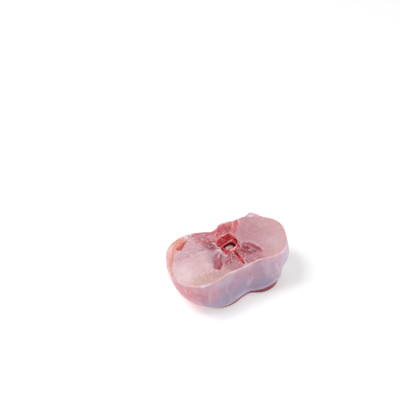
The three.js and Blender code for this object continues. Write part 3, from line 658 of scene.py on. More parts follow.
def paint_wall(solid, seed):
    """The side: silverskin over the back and flanks, bare meat at the belly and under the skin's edge."""
    height = solid[:, 2]
    degrees = turn_between(side_angle(solid), 0)
    d = degrees + 5 * noise(solid, 7, seed) + 2 * noise(solid, 2.6, seed + 1)
    z = height + 0.9 * noise(solid, 5, seed + 2) + 0.25 * noise(solid, 1.4, seed + 3)

    def drawn_out(share):
        return solid * np.array([1, 1, share])

    hanging = drawn_out(0.45)
    skinned = np.clip(step(8, -10, d) + step(150, 172, d), 0, 1)
    wall = Paint(solid, mix(LAVENDER, LAVENDER_BLUE, step(17, 6, z)))
    wall.wet[:] = 0.8
    wall.lay(step(0, 0.55, noise(hanging, 5, seed + 10)) * 0.4, MAUVE_PINK)
    wall.lay(step(0, 0.55, noise(hanging, 4, seed + 11)) * 0.35, GREY_BLUE)
    # painted reflection: the back turns paler toward the right, where the silverskin catches the light at a
    # grazing angle
    wall.lay(step(-62, -26, d) * 0.8, LAVENDER_PALE)
    left = np.clip(step(-140, -160, d) + step(116, 140, d), 0, 1)
    wall.lay(left * 0.95, SKIN_PINK)
    wall.lay(step(116, 136, d) * step(178, 160, d) * 0.3, LAVENDER_PALE)
    inner = step(2, 16, d) * step(132, 118, d)
    wall.lay(inner, BELLY_RED, 0, 0.7)
    wall.lay(bell(d - 76, 16) * 0.8, PSOAS, 0, 0.7)
    veil = step(-0.1, 0.9, layered_noise(hanging, 7, seed + 4) + 0.5 * noise(solid, 1.6, seed + 7))
    wall.lay(inner * veil * 0.7, LAVENDER_PALE, 0.05, 0.9)
    bundles = layered_noise(drawn_out(0.3), 2.4, seed + 8)
    wall.lay(inner * step(0, 0.6, bundles) * 0.3, BLUSH, 0.1)
    wall.lay(inner * step(0, -0.6, bundles) * 0.3, WINE, -0.12)
    for at in (44, 103):
        wall.lay(bell(d - at, 2.5) * 0.5, WINE, -0.3)
    wall.lay(step(19, 23.4, z) * (step(-10, -30, d) + step(150, 172, d)) * 0.5, ROSE_WARM)
    sheen = step(0, 0.5, noise(drawn_out(0.4), 5, seed + 16)) * skinned
    wall.lay(sheen * step(THICKNESS - 2.4, THICKNESS - 0.4, height) * 0.6, SKIN_EDGE_AND_SHEEN)
    for at, level, half_width, half_height, share, tone in WALL_SPOTS:
        place = np.column_stack([turn_between(d, at), z])
        wall.lay(spot(place, (0, level), (half_width, half_height), 0, 0.8) * share, tone)

    haze = step(0.15, 0.7, noise(hanging, 2.6, seed + 12)) * skinned
    wall.lay(haze * 0.28, LAVENDER_PALE, 0.03)
    threads = step(0.3, 0.7, noise(drawn_out(0.1), 0.9, seed + 13))
    wall.lay(threads * (step(-134, -146, d) + step(150, 172, d)) * 0.2, MEMBRANE_AND_HIGHLIGHT, 0.04)
    wall.lay(threads * skinned * 0.14, MEMBRANE_AND_HIGHLIGHT, 0.02)

    beyond = np.clip(1 - np.maximum(degrees + 34, 0) / 26, 0, 1)
    tapered = np.maximum(lip_share(degrees), beyond * step(-60, -40, degrees))
    above_lip = height + 0.35 * noise(solid, 2.2, seed + 14) - lip_height(degrees) * tapered
    lipped = step(0.05, 0.35, tapered)
    wall.lay(lipped * bell(above_lip - 0.9, 0.8) * 0.6, LAVENDER_PALE, 0.08)
    wall.lay(lipped * step(0.25, -0.35, above_lip), RIM_RED, 0, 0.7)
    ragged = step(0, 0.5, noise(solid, 1.6, seed + 15))
    wall.lay(lipped * step(0.25, -0.35, above_lip) * ragged * 0.5, BROWNISH, 0.05)
    wall.lay((1 - lipped) * step(2.2, 0.2, z) * 0.45, BELLY_RED)

    grain = layered_noise(drawn_out(0.14), 1.1, seed + 5)
    cloud = layered_noise(solid, 6, seed + 6)
    # painted shade: the middle of the back, between about -142 and -66 degrees, is made a tenth darker
    painted_shade = 0.1 * step(-156, -142, d) * step(-52, -66, d)
    wall.colour *= (1 - painted_shade + 0.045 * grain + 0.06 * cloud)[:, None]
    wall.relief += 0.02 * grain + 0.12 * cloud
    return wall


BODY_RED = colour(206, 54, 62)
BODY_BRIGHT = colour(244, 98, 96)
BONE_PINK = colour(246, 160, 158)
BONE_WHITE = colour(250, 222, 218)
BONE_ORANGE = colour(218, 56, 42)
MARROW_RED = colour(166, 28, 40)
SLOT_RED = colour(124, 4, 16)
HOLLOW = colour(92, 8, 18)
CORD_GREY = colour(204, 158, 166)

# Strands of the sawn bone, in the same way. The pink and white strands along the body's top-left rim and the
# white ones at other ragged edges are partly painted highlights; the dark band between the marrow and the
# canal's rim is painted shadow.
BONE_STROKES = (
    (BODY_BRIGHT, 1.3, 0.8, 0.2, -6, 5.4, -5.4, 6.8, -3.8, 8.2, -1.6, 8.7),
    # partly painted highlights: the pink and white strands along the body's top-left rim
    (BONE_PINK, 1, 1, 0.3, -5.6, 7, -3.6, 8.8, 0.2, 9.4, 3.4, 9.9),
    (BONE_WHITE, 0.8, 1, 0.3, -1.2, 9.3, 1.4, 9.7, 3.2, 10),
    (CRIMSON, 1.4, 0.95, -0.2, -5.4, 4.8, -5.7, 3, -5, 2.2),
    (ORANGE_RED, 0.8, 0.6, 0.1, -5.3, 4.2, -4.7, 3.5),
    # painted shadow: the dark band below the marrow, above the canal's rim
    (SLOT_RED, 1.2, 1, -0.35, -4.4, 2.9, -1.8, 4, 0.6, 4.5, 2, 4.8),
    (SLOT_RED, 0.9, 0.8, -0.25, 1.6, 4.9, 3.2, 5.1, 4.8, 5),
    (BONE_PINK, 0.55, 0.9, 0.3, -4.8, 1.4, -3.2, 2.4, -1, 3, 0.6, 3.3, 2, 3.1),
    (BONE_WHITE, 0.8, 0.6, 0.35, 2.4, 3.3, 3.8, 3.7),
    (BONE_ORANGE, 1, 0.8, 0.1, 4.6, 9.2, 5.2, 7.4, 5.2, 5.4),
    (BLUSH, 0.5, 0.7, 0.2, 5.6, 8.6, 6, 6.4, 6.2, 4.4),
    (SLOT_RED, 1.7, 1, -0.3, 5.7, 3.8, 5.4, 2.2, 4.9, 0.4),
    (BODY_BRIGHT, 0.5, 0.7, 0.2, 4, 3, 3.9, 1.2, 4.2, -1.2),
    (CRIMSON, 1, 0.8, -0.1, 5, -1.2, 4.5, -2.4),
    (BONE_WHITE, 0.8, 0.95, 0.3, 5, -3.4, 5.6, -3),
    (BONE_PINK, 0.9, 0.85, 0.25, 1.2, -2.9, 2.8, -2.2, 3.9, -1.2),
    (SLOT_RED, 1.5, 1, -0.3, -5.6, 0.4, -5.5, -1.2, -5, -2.4),
    (BONE_PINK, 0.5, 0.8, 0.2, -6.2, 0.4, -6.3, -2.4, -6, -4.6),
    (BODY_BRIGHT, 0.7, 0.7, 0.2, -4.6, 0.4, -4.4, -2, -3.4, -3.2),
    (CRIMSON, 1.2, 0.9, -0.15, -5.6, -5, -4.6, -4.6, -3.8, -4.3),
    (BONE_PINK, 0.6, 0.8, 0.2, -5.8, -5.7, -4, -5, -2, -4.4, -0.6, -4.4),
    (BONE_WHITE, 1.5, 0.8, 0.2, -1.6, -3.4, 0.6, -3.2, 2.4, -2.9),
    (BONE_PINK, 0.7, 0.6, 0.25, -6.2, 5.2, -5.4, 6.8, -4.4, 7.8),
    (BONE_PINK, 0.9, 0.9, 0.25, -1.2, -4.7, 0.2, -4.5, 1.8, -4.4),
    (SLOT_RED, 0.9, 0.8, -0.25, 4.4, 1.8, 5, 3.6, 4.9, 5.2),
    (BONE_PINK, 0.6, 0.9, 0.2, -0.9, -6.2, -1.3, -8.2, -1.6, -10.4, -1.4, -12.8),
    (BONE_PINK, 0.5, 0.8, 0.2, 1.2, -6.6, 1.1, -9, 1.2, -10.8, 0.8, -13),
    (CRIMSON, 1.5, 1, -0.3, 0.4, -5.7, 0, -7, -0.2, -9.4, -0.3, -11.6),
    (HOLLOW, 1, 1, -0.5, 0.4, -5.9, 0, -7, -0.1, -9),
    (SLOT_RED, 0.9, 1, -0.4, -0.1, -8.6, -0.1, -11.2),
    (BODY_BRIGHT, 1.2, 0.7, 0.1, -0.3, -12.2, 0, -13.6),
    (SLOT_RED, 0.9, 0.95, -0.5, 0.1, -14.1, -0.2, -15.4, -0.4, -16.9),
)


def paint_bone(xy, seed):
    """The sawn vertebra: body with its marrow, canal rim, arch and the thin leaf of the spinous process."""
    p = waver(xy, seed)
    x, y = p[:, 0], p[:, 1]
    solid = with_height(xy)
    bone = Paint(xy, BODY_RED)
    marrow = region(p, (-4.4, 4.4, -3.8, 6.2, -2.4, 7.8, 0.4, 8.8, 3.2, 9.4, 4.6, 8.4, 5, 6.2, 3.4, 5.4,
        0.4, 5, -2.6, 3.9), 0.45)
    bone.lay(marrow, MARROW_RED, -0.35, 0.8)
    bone.lay(marrow * step(1, -2, x) * 0.7, mix(RASPBERRY, DEEP, 0.5), 0.15)
    bone.lay(marrow * bell(line_distance(p, ((-1.4, 8.0), (0.4, 5.4)))[0], 0.5) * 0.5, BODY_BRIGHT, 0.2)
    broken = 0.7 + 0.3 * step(-0.4, 0.1, noise(solid, 1.4, seed + 50))
    for tone, width, share, relief, *line in BONE_STROKES:
        bone.lay(stroke(p, line, width, 0.3, 0.4) * share * broken, tone, relief)
    crumbs = layered_noise(solid, 0.9, seed + 10)
    chips = step(0.25, 0.55, noise(solid, 0.7, seed + 20))
    hollows = step(0.2, 0.55, noise(solid, 0.8, seed + 21))
    bone.lay(hollows * 0.45, SLOT_RED, -0.2)
    bone.lay(chips * 0.4, BONE_PINK, 0.2)
    bone.colour *= (1 + 0.2 * crumbs)[:, None]
    bone.relief += 0.2 * crumbs
    bone.wet[:] = 0.6
    return bone


# ---------------------------------------------------------------- meshes
cord_low, cord_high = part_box("spinal_cord")
CORD_MEAN_DEPTH = (1 + CORD_RECESS / THICKNESS) / 2
ORIGIN = np.array([
    (cord_low.x + cord_high.x) / 2 / MM - CORD[0][0] - BONE_LEAN[0] * CORD_MEAN_DEPTH,
    (cord_low.y + cord_high.y) / 2 / MM - CORD[0][1] - BONE_LEAN[1] * CORD_MEAN_DEPTH,
    0.0,
])
TOP_LIMIT = cad_high.z / MM - 0.03


def under_limit(height):
    """Heights eased so that they stay under the top of the CAD model."""
    return TOP_LIMIT - 0.08 * np.logaddexp(0, (TOP_LIMIT - height) / 0.08)


def lean(ring, height):
    """A ring of the upper cut moved down to a height along the bone's lean."""
    return with_height(ring + np.array(BONE_LEAN) * (1 - height / THICKNESS), height)


def triangular_grid(low, high, spacing):
    columns = np.arange(int((high[0] - low[0]) / spacing) + 2)
    rows = np.arange(int((high[1] - low[1]) / (spacing * 0.866)) + 2)
    i, j = np.meshgrid(columns, rows)
    x = low[0] + spacing * (i + 0.5 * (j % 2))
    y = low[1] + spacing * 0.866 * j
    return np.column_stack([x.ravel(), y.ravel()])


def fill(outer, holes, spacing):
    """Points (outline, then holes, then the inside) and counter-clockwise triangles that fill an outline."""
    inner = triangular_grid(outer.min(0), outer.max(0), spacing)
    keep = inside_distance(inner, outer) > spacing * 0.6
    for hole in holes:
        keep &= inside_distance(inner, hole) < -spacing * 0.6
    every = np.vstack([outer, *holes, inner[keep]])
    edges, start = [], 0
    for loop in (outer, *holes):
        edges += [(start + k, start + (k + 1) % len(loop)) for k in range(len(loop))]
        start += len(loop)
    triangles = np.array(delaunay_2d_cdt([Vector(p) for p in every], edges, [], 0, 1e-7)[2])
    centres = every[triangles].mean(axis=1)
    inside = inside_distance(centres, outer) > 0
    for hole in holes:
        inside &= inside_distance(centres, hole) < 0
    triangles = triangles[inside]
    a, b, c = (every[triangles[:, k]] for k in range(3))
    turned = (b[:, 0] - a[:, 0]) * (c[:, 1] - a[:, 1]) - (b[:, 1] - a[:, 1]) * (c[:, 0] - a[:, 0]) < 0
    triangles[turned] = triangles[turned][:, ::-1]
    return every, triangles


class Surface:
    """A closed mesh in the making: points, faces, colours and wetness."""

    def __init__(self):
        self.points, self.tones, self.wet, self.faces = [], [], [], []
        self.count = 0

    def add(self, points, paint, first=0):
        """Add the points from number `first` on, with their paint, and give their places in the mesh."""
        self.points.append(points[first:])
        self.tones.append(paint.colour[first:])
        self.wet.append(paint.wet[first:])
        index = self.count + np.arange(len(points) - first)
        self.count += len(index)
        return index

    def strip(self, upper, lower, closed=True):
        """Quads between two rings of equal length, counter-clockwise, the upper one above the lower."""
        for k in range(len(upper) if closed else len(upper) - 1):
            after = (k + 1) % len(upper)
            self.faces.append((upper[k], lower[k], lower[after], upper[after]))

    def triangles(self, index, triangles, turned=False):
        for a, b, c in index[triangles]:
            self.faces.append((a, c, b) if turned else (a, b, c))

    def make(self, name, node, material):
        mesh = bpy.data.meshes.new(name)
        points = (np.vstack(self.points) + ORIGIN) * MM
        mesh.from_pydata(points.tolist(), [], [tuple(int(i) for i in face) for face in self.faces])
        mesh.polygons.foreach_set("use_smooth", [True] * len(mesh.polygons))
        tones = np.clip(np.vstack(self.tones), 0, 1)
        tone = mesh.color_attributes.new("tone", "FLOAT_COLOR", "POINT")
        tone.data.foreach_set("color", np.column_stack([tones, np.ones(len(tones))]).ravel())
        wet = mesh.attributes.new("wet", "FLOAT", "POINT")
        wet.data.foreach_set("value", np.clip(np.concatenate(self.wet), 0, 1))
        mesh.materials.append(material)
        piece = bpy.data.objects.new(name, mesh)
        bpy.context.scene.collection.objects.link(piece)
        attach(piece, "root")
        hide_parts(node)


def skin_relief(points):
    """How far the side dips inward: broad dents, fine unevenness and torn notches along the belly's edge."""
    degrees = side_angle(points)
    torn = step(4, 22, degrees) * step(132, 112, degrees) * bell(points[:, 2] - THICKNESS, 4)
    notches = 0.3 * step(-0.1, 0.6, noise(points, 1.5, 303)) + 0.2 * step(0, 0.6, noise(points, 0.8, 304))
    return 0.14 + 0.12 * noise(points, 6.5, 301) + 0.025 * noise(points, 1.3, 302) + torn * notches


def side_points(angle, height, inset):
    """Points of the side at the given heights, `inset` in from the outer surface."""
    height = np.broadcast_to(height, angle.shape)
    depth = 1 - height / THICKNESS

    def placed(distance):
        x = BONE_LEAN[0] * depth + distance * np.cos(angle)
        return np.column_stack([x, distance * np.sin(angle), height])

    distance = wall_reach(angle, depth) - inset
    return placed(distance - skin_relief(placed(distance)))


def on_upper_cut(xy):
    """Where a point of the lower cut lies on the upper one, by the direction and the share of the way out."""
    centre = np.array([BONE_LEAN[0], 0.0])
    d = xy - centre
    angle = np.arctan2(d[:, 1], d[:, 0])
    scaled = d * (reach(angle, 0.0) / reach(angle, 1.0))[:, None]
    return mix(xy - np.array(BONE_LEAN), scaled, step(9, 18, np.hypot(*d.T)))


def paint_lower(xy):
    lower = paint_cut(on_upper_cut(xy), LOWER_SEED)
    lower.colour = mix(lower.colour, ROSE, 0.25)
    return lower


def paint_rim(points, t, start, end):
    """Lift a row of the rounded upper edge with the cut's relief, and mix the cut's paint and the side's."""
    upper = paint_cut(points[:, :2], CUT_SEED)
    points[:, 2] += (cut_top(points[:, :2], upper) - THICKNESS) * (1 - t ** 2)
    side = paint_wall(points, WALL_SEED)
    share = step(start, end, t)
    rim = Paint(points, mix(upper.colour, side.colour, share))
    rim.wet = upper.wet * (1 - share) + side.wet * share
    return rim


def line_skin(paint, degrees, t):
    """The thin pale line where the silverskin is cut through, along the back's rounded edge; it is partly a
    painted highlight where that edge catches the light.
    """
    along = step(-8, -26, degrees) * step(-177, -168, degrees)
    broken = 0.3 + 0.7 * step(-0.4, 0.3, noise(paint.points, 4.5, 61))
    paint.lay(along * broken * bell(t - 0.5, 0.4), SKIN_EDGE_AND_SHEEN, 0, 1.0)


def cut_top(xy, paint):
    return under_limit(THICKNESS + cut_height(xy) + paint.relief - 0.08)


def loin_inset(degrees):
    """How far the loin's side lies inside the outer surface, to leave room for the flap."""
    past = degrees % 360
    gap = SEAM_GAP * step(FLAP_START - 0.6, FLAP_START, past) * step(FLAP_END + 0.6, FLAP_END, past)
    return flap_section(degrees) + gap


def flap_section(degrees):
    """The flap's thickness, rounded off at its far end."""
    past = degrees % 360
    within = (past > FLAP_START) & (past < FLAP_END)
    end = step(FLAP_END, FLAP_END - 12, past)
    return np.where(within, flap_thickness(degrees) * end, 0.0)


def bone_outline(margin=0.0):
    ring = smooth_curve(BONE_OUTLINE, 0.25)
    forward = np.roll(ring, -1, axis=0) - np.roll(ring, 1, axis=0)
    outward = np.column_stack([forward[:, 1], -forward[:, 0]])
    outward /= np.linalg.norm(outward, axis=1)[:, None]
    ragged = 0.2 * layered_noise(with_height(ring), 1.4, 401, 2)
    return ring + outward * (margin + ragged)[:, None]


def oval(at, radii, turn, count, boxy=2.0):
    t = np.linspace(0, 2 * np.pi, count, endpoint=False)
    c, s = np.cos(t), np.sin(t)
    u = radii[0] * np.sign(c) * np.abs(c) ** (2 / boxy)
    v = radii[1] * np.sign(s) * np.abs(s) ** (2 / boxy)
    ca, sa = math.cos(math.radians(turn)), math.sin(math.radians(turn))
    return np.column_stack([at[0] + u * ca - v * sa, at[1] + u * sa + v * ca])


def make_loin(material):
    """The upper cut with the bone's hole, the side row by row, the lower cut and the wall of the hole."""
    loin = Surface()
    angle = -np.pi + 2 * np.pi * np.arange(AROUND) / AROUND
    degrees = np.degrees(angle)
    inset = loin_inset(degrees)
    rim = mix(np.full((AROUND, 1), RIM), SEAM_RIM, step(0.1, 1.2, inset))[:, 0]
    rows = []
    for t, left, gone in quarter(RIM_ROWS):
        points = side_points(angle, THICKNESS - rim * gone, inset + rim * left)
        paint = paint_rim(points, t, 0.4, 0.8)
        line_skin(paint, degrees, t)
        rows.append((points, paint))
    lower = [((THICKNESS - rim) * (1 - t) + BASE_RIM * t, inset) for t in np.linspace(0, 1, WALL_ROWS)[1:]]
    lower += [(BASE_RIM * left, inset + BASE_RIM * gone) for _, left, gone in quarter(BASE_ROWS, 1)]
    for height, inward in lower:
        points = side_points(angle, height, inward)
        rows.append((points, paint_wall(points, WALL_SEED)))

    hole = bone_outline(SEAM_GAP)
    plan, triangles = fill(rows[0][0][:, :2], [hole], CUT_SPACING)
    paint = paint_cut(plan, CUT_SEED)
    top = loin.add(np.column_stack([plan, cut_top(plan, paint)]), paint)
    loin.triangles(top, triangles)
    above = top[:AROUND]
    for points, paint in rows[1:]:
        index = loin.add(points, paint)
        loin.strip(above, index)
        above = index

    edge = rows[-1][0][:, :2]
    plan, triangles = fill(edge, [hole + np.array(BONE_LEAN)], BASE_SPACING)
    hollow = 0.05 * step(0, 3, inside_distance(plan, edge)) * (1 + noise(with_height(plan), 5, 303))
    base = loin.add(np.column_stack([plan, hollow]), paint_lower(plan), AROUND)
    loin.triangles(np.concatenate([above, base]), triangles, turned=True)

    above = base[:len(hole)]
    for height in np.linspace(0, THICKNESS, HOLE_ROWS)[1:-1]:
        ring = lean(hole, height)
        index = loin.add(ring, Paint(ring, DEEP))
        loin.strip(above, index)
        above = index
    loin.strip(above, top[AROUND:AROUND + len(hole)])
    loin.make("loin", "loin_meat", material)


def make_flap(material):
    """The flap as closed cross-sections, each from the seam over the outside and back under."""
    flap = Surface()
    turns = 0.5 - 0.5 * np.cos(np.pi * np.linspace(0.01, 0.99, FLAP_STEPS))
    degrees = FLAP_START + (FLAP_END - FLAP_START) * turns
    angle = np.radians(np.where(degrees > 180, degrees - 360, degrees))
    thickness = np.maximum(flap_section(degrees), 0.05)
    outer = np.minimum(RIM, thickness * 0.55)
    inner = np.minimum(SEAM_RIM, thickness * 0.35)
    base = np.minimum(BASE_RIM, thickness * 0.5)

    def between(start, end, rows, stop=None):
        return [start * (1 - t) + end * t for t in np.linspace(0, 1, rows)[1:stop]]

    seam_turn = list(quarter(FLAP_RIM_ROWS))
    rows = [(THICKNESS - inner * left, thickness - inner * gone, "cut", 0) for _, left, gone in seam_turn]
    rows += [(THICKNESS, inset, "cut", 0) for inset in between(thickness - inner, outer, FLAP_TOP_ROWS, -1)]
    rows += [(THICKNESS - outer * gone, outer * left, "cut", t) for t, left, gone in quarter(RIM_ROWS)]
    rows += [(height, 0, "side", 1) for height in between(THICKNESS - outer, base, FLAP_WALL_ROWS)]
    rows += [(base * left, base * gone, "side", 1) for _, left, gone in quarter(FLAP_RIM_ROWS + 1, 1)]
    rows += [(0, inset, "base", 1) for inset in between(base, thickness - inner, FLAP_BASE_ROWS, -1)]
    rows += [(inner * gone, thickness - inner * left, "base", 1) for _, left, gone in seam_turn]
    rising = between(inner, THICKNESS - inner, FLAP_SEAM_ROWS, -1)
    rows += [(height, thickness, "seam", 1) for height in rising]

    index = []
    for height, inset, kind, t in rows:
        points = side_points(angle, height, inset)
        if kind == "cut":
            paint = paint_rim(points, t, 0.3, 0.85)
        elif kind == "side":
            paint = paint_wall(points, WALL_SEED)
        elif kind == "base":
            paint = paint_lower(points[:, :2])
        else:
            paint = Paint(points, mix(ORANGE, FLANK, 0.4))
        index.append(flap.add(points, paint))
    for above, below in zip(index, index[1:] + index[:1]):
        flap.strip(above, below, closed=False)
    flap.faces.append(tuple(row[0] for row in index))
    flap.faces.append(tuple(row[-1] for row in reversed(index)))
    flap.make("flap", "flank_flap", material)


def make_bone(material):
    """The sawn face, the outer side and the canal's side going down, and the lower face."""
    bone = Surface()
    top_height = THICKNESS + BONE_PROUD
    levels = np.concatenate([[top_height - BONE_RIM], np.linspace(top_height - 0.8, 0, BONE_ROWS)])
    inner = bone_outline(-BONE_RIM)
    at, radii, turn = CANAL
    opening = oval(at, (radii[0] + BONE_RIM, radii[1] + BONE_RIM), turn, CANAL_STEPS, BOXY)
    plan, triangles = fill(inner, [opening], BONE_SPACING)
    paint = paint_bone(plan, BONE_SEED)
    top = bone.add(np.column_stack([plan, under_limit(top_height + paint.relief)]), paint)
    bone.triangles(top, triangles)

    def side(loop, above, outward):
        away = loop - np.roll(loop, 1, axis=0)
        away = np.column_stack([away[:, 1], -away[:, 0]])
        away /= np.maximum(np.linalg.norm(away, axis=1), 1e-6)[:, None]
        for level in levels:
            points = lean(loop, level)
            rough = 0.02 * layered_noise(points, 1.6, 421)
            points[:, :2] -= away * (0.03 + rough)[:, None] * outward
            paint = Paint(points, mix(BODY_RED, BONE_PINK, 0.3))
            paint.colour *= (1 + 0.15 * noise(points, 1.8, 422))[:, None]
            # painted shade: the canal's own wall turns dark just below the sawn face
            if outward < 0:
                paint.lay(step(-0.2, 0.6, top_height - level) * 0.92, HOLLOW, 0, 0)
            index = bone.add(points, paint)
            bone.strip(*((above, index) if outward > 0 else (index, above)))
            above = index
        return above

    below = side(bone_outline(), top[:len(inner)], 1)
    canal_below = side(oval(*CANAL, CANAL_STEPS, BOXY), top[len(inner):len(inner) + CANAL_STEPS], -1)
    every = np.vstack(bone.points)[:, :2]
    plan, triangles = fill(every[below], [every[canal_below]], BONE_SPACING * 1.6)
    paint = paint_bone(plan - np.array(BONE_LEAN), BONE_LOWER_SEED)
    rest = bone.add(with_height(plan, 0.02), paint, len(below) + len(canal_below))
    bone.triangles(np.concatenate([below, canal_below, rest]), triangles, turned=True)
    bone.make("bone", "vertebra", material)


def make_cord(material):
    """The cord's domed top and its sides, ring by ring."""
    cord = Surface()
    top_height = THICKNESS - CORD_RECESS
    shares = np.linspace(0.12, 1, CORD_DOME_ROWS)
    rings = [(t, top_height - 0.5 * (1 - math.sqrt(1 - t ** 2 * 0.98))) for t in shares]
    rings += [(1, level) for level in np.linspace(top_height - 0.6, 0.3, CORD_ROWS)]
    rings.append((0.97, 0.05))
    at, radii, turn = CORD
    above = None
    for share, level in rings:
        loop = oval(at, (radii[0] * share, radii[1] * share), turn, CORD_STEPS, 2.2)
        points = lean(loop, level)
        paint = Paint(points, CORD_GREY)
        paint.lay(step(-0.1, 0.6, noise(points, 1.2, 501)) * 0.7, PALE_BRIGHT)
        paint.lay(step(0.1, 0.6, noise(points, 0.9, 502)) * 0.35, RASPBERRY)
        # painted shade from the canal: darker round the cord's rim, toward +Y and at its -X end
        paint.lay(step(0.85, 1, share) * 0.5, MAUVE_DARK)
        paint.lay(step(-0.4, 1.2, loop[:, 1] + 0.2 * loop[:, 0]) * 0.8, MAROON)
        paint.lay(step(-2.2, -3.3, loop[:, 0] - 0.3 * loop[:, 1]) * 0.8, MAROON)
        points[:, 2] += 0.05 * noise(points, 0.8, 503) * (share < 1) - 0.06
        points[:, 2] = np.maximum(points[:, 2], 0)
        paint.wet[:] = 0.9
        index = cord.add(points, paint)
        if above is None:
            cord.faces.append(tuple(index))
        else:
            cord.strip(above, index)
        above = index
    cord.faces.append(tuple(above[::-1]))
    cord.make("cord", "spinal_cord", material)


# ---------------------------------------------------------------- materials
def feed(socket, value, links):
    if isinstance(value, bpy.types.NodeSocket):
        links.new(value, socket)
    else:
        socket.default_value = value


def flesh(name, grain, bump, rough, coat, scatter, gloss=0.4):
    """Moist tissue: the painted tone with specks and cells over it, uneven gloss and a fine bump."""
    material = bpy.data.materials.new(name)
    material.use_nodes = True
    nodes, links = material.node_tree.nodes, material.node_tree.links

    def node(kind, output, settings, **values):
        """A node with its settings and its named sockets' values or links; gives the named output."""
        made = nodes.new("ShaderNode" + kind)
        for setting, value in settings.items():
            setattr(made, setting, value)
        for socket, value in values.items():
            feed(made.inputs[socket.replace("_", " ")], value, links)
        return made.outputs[output]

    def ranged(value, low, high, to_low, to_high):
        limits = {"From_Min": low, "From_Max": high, "To_Min": to_low, "To_Max": to_high}
        return node("MapRange", "Result", {}, Value=value, **limits)

    def combined(operation, a, b):
        made = nodes.new("ShaderNodeMath")
        made.operation = operation
        for socket, value in zip(made.inputs, (a, b)):
            feed(socket, value, links)
        return made.outputs["Value"]

    place = node("TexCoord", "Object", {})
    tone = node("Attribute", "Color", {"attribute_name": "tone"})
    wet = node("Attribute", "Fac", {"attribute_name": "wet"})
    specks = node("TexNoise", "Fac", {}, Vector=place, Scale=1 / (grain * 0.6) / MM, Detail=4, Roughness=0.6)
    clouds = node("TexNoise", "Fac", {}, Vector=place, Scale=1 / (grain * 5) / MM, Detail=3)
    edges = {"feature": "DISTANCE_TO_EDGE"}
    cells = node("TexVoronoi", "Distance", edges, Vector=place, Scale=1 / grain / MM)
    cell_line = ranged(cells, 0, 0.12, 1, 0)
    mottling = combined("MULTIPLY", ranged(specks, 0.3, 0.7, 0.9, 1.1), ranged(clouds, 0.3, 0.7, 0.95, 1.05))
    mottling = combined("ADD", mottling, combined("MULTIPLY", cell_line, 0.08))
    tinted = nodes.new("ShaderNodeVectorMath")
    tinted.operation = "SCALE"
    links.new(tone, tinted.inputs[0])
    links.new(mottling, tinted.inputs["Scale"])
    dryness = ranged(wet, 0, 1, rough + 0.14, rough - 0.08)
    height = combined("ADD", specks, combined("MULTIPLY", cell_line, -0.3))
    sockets = {
        "Base Color": tinted.outputs["Vector"],
        "Roughness": combined("ADD", dryness, ranged(clouds, 0.3, 0.7, -0.06, 0.08)),
        "Normal": node("Bump", "Normal", {}, Strength=bump, Distance=grain * 0.12 * MM, Height=height),
        "Subsurface Weight": scatter,
        "Subsurface Radius": (1.0, 0.36, 0.28),
        "Subsurface Scale": 1.6 * MM,
        "Coat Weight": coat,
        "Coat Roughness": 0.18,
        "Specular IOR Level": gloss,
    }
    for socket, value in sockets.items():
        feed(nodes["Principled BSDF"].inputs[socket], value, links)
    return material


make_loin(flesh("meat", grain=0.9, bump=0.8, rough=0.42, coat=0.3, scatter=0.2))
make_flap(flesh("flank", grain=1.1, bump=0.5, rough=0.38, coat=0.2, scatter=0.25))
make_bone(flesh("bone", grain=0.5, bump=0.8, rough=0.45, coat=0.03, scatter=0.05, gloss=0.12))
make_cord(flesh("cord", grain=0.6, bump=0.3, rough=0.36, coat=0.2, scatter=0.3))


# ---------------------------------------------------------------- floor, lights and camera
FLOOR_HALF, FLOOR_DROP, FLOOR_GLOW, FLOOR_GREY, SKY = 3.0, 0.0001, 0.26, 0.93, 0.28


def pale_floor():
    mesh = bpy.data.meshes.new("floor")
    half = FLOOR_HALF
    corners = [(-half, -half, 0), (half, -half, 0), (half, half, 0), (-half, half, 0)]
    mesh.from_pydata(corners, [], [(0, 1, 2, 3)])
    floor = bpy.data.objects.new("floor", mesh)
    bpy.context.scene.collection.objects.link(floor)
    floor.location.z = cad_low.z - FLOOR_DROP
    material = bpy.data.materials.new("pale floor")
    material.use_nodes = True
    shader = material.node_tree.nodes["Principled BSDF"]
    shader.inputs["Base Color"].default_value = (FLOOR_GREY, FLOOR_GREY, FLOOR_GREY, 1)
    shader.inputs["Roughness"].default_value = 0.8
    shader.inputs["Specular IOR Level"].default_value = 0.1
    shader.inputs["Emission Color"].default_value = (1, 1, 1, 1)
    shader.inputs["Emission Strength"].default_value = FLOOR_GLOW
    mesh.materials.append(material)


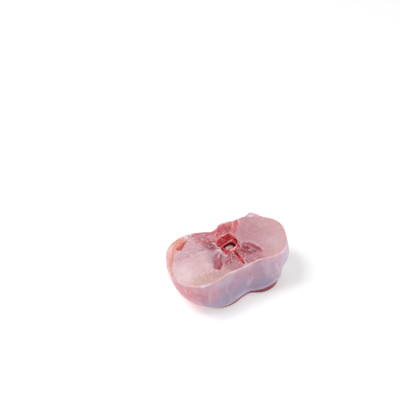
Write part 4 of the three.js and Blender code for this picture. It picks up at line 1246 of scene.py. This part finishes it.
def soft_light(name, position, size, power):
    light = bpy.data.lights.new(name, "AREA")
    light.size = size
    light.energy = power
    lamp = bpy.data.objects.new(name, light)
    bpy.context.scene.collection.objects.link(lamp)
    lamp.location = position
    lamp.rotation_mode = "QUATERNION"
    middle = (cad_low + cad_high) / 2
    lamp.rotation_quaternion = (middle - Vector(position)).to_track_quat("-Z", "Y")


pale_floor()
world = bpy.data.worlds.new("studio")
world.use_nodes = True
world.node_tree.nodes["Background"].inputs["Color"].default_value = (1, 1, 1, 1)
world.node_tree.nodes["Background"].inputs["Strength"].default_value = SKY
bpy.context.scene.world = world
soft_light("key", (-0.45, 0.3, 0.85), 0.5, 6.0)
soft_light("fill", (-0.2, -0.9, 0.45), 0.7, 3.4)
soft_light("side", (0.8, -0.3, 0.5), 0.6, 1.8)
bpy.context.scene.view_settings.view_transform = "Standard"

# The photograph's camera: a long lens above and to the left of the back edge.
IMAGE = 400
LENS, SENSOR = 100.0, 36.0
AZIMUTH, ELEVATION = math.radians(-29), math.radians(40)
DISTANCE = 650.0
CANAL_SEEN_AT = (229.9, 245.7)
level = math.cos(ELEVATION)
back = Vector((math.sin(AZIMUTH) * level, -math.cos(AZIMUTH) * level, math.sin(ELEVATION)))
right = Vector((math.cos(AZIMUTH), math.sin(AZIMUTH), 0))
up = right.cross(-back)
pixels_per_unit = IMAGE * LENS / SENSOR
aside = (CANAL_SEEN_AT[0] - IMAGE / 2) / pixels_per_unit
below = (CANAL_SEEN_AT[1] - IMAGE / 2) / pixels_per_unit
canal_top = Vector(ORIGIN.tolist()) + Vector((0, 0, THICKNESS))
camera_data = bpy.data.cameras.new("camera")
camera_data.lens = LENS
camera_data.sensor_width = SENSOR
camera = bpy.data.objects.new("camera", camera_data)
bpy.context.scene.collection.objects.link(camera)
camera.location = (canal_top - (-back + right * aside - up * below) * DISTANCE) * MM
camera.rotation_mode = "QUATERNION"
camera.rotation_quaternion = Matrix((right, up, back)).transposed().to_quaternion()
bpy.context.scene.camera = camera
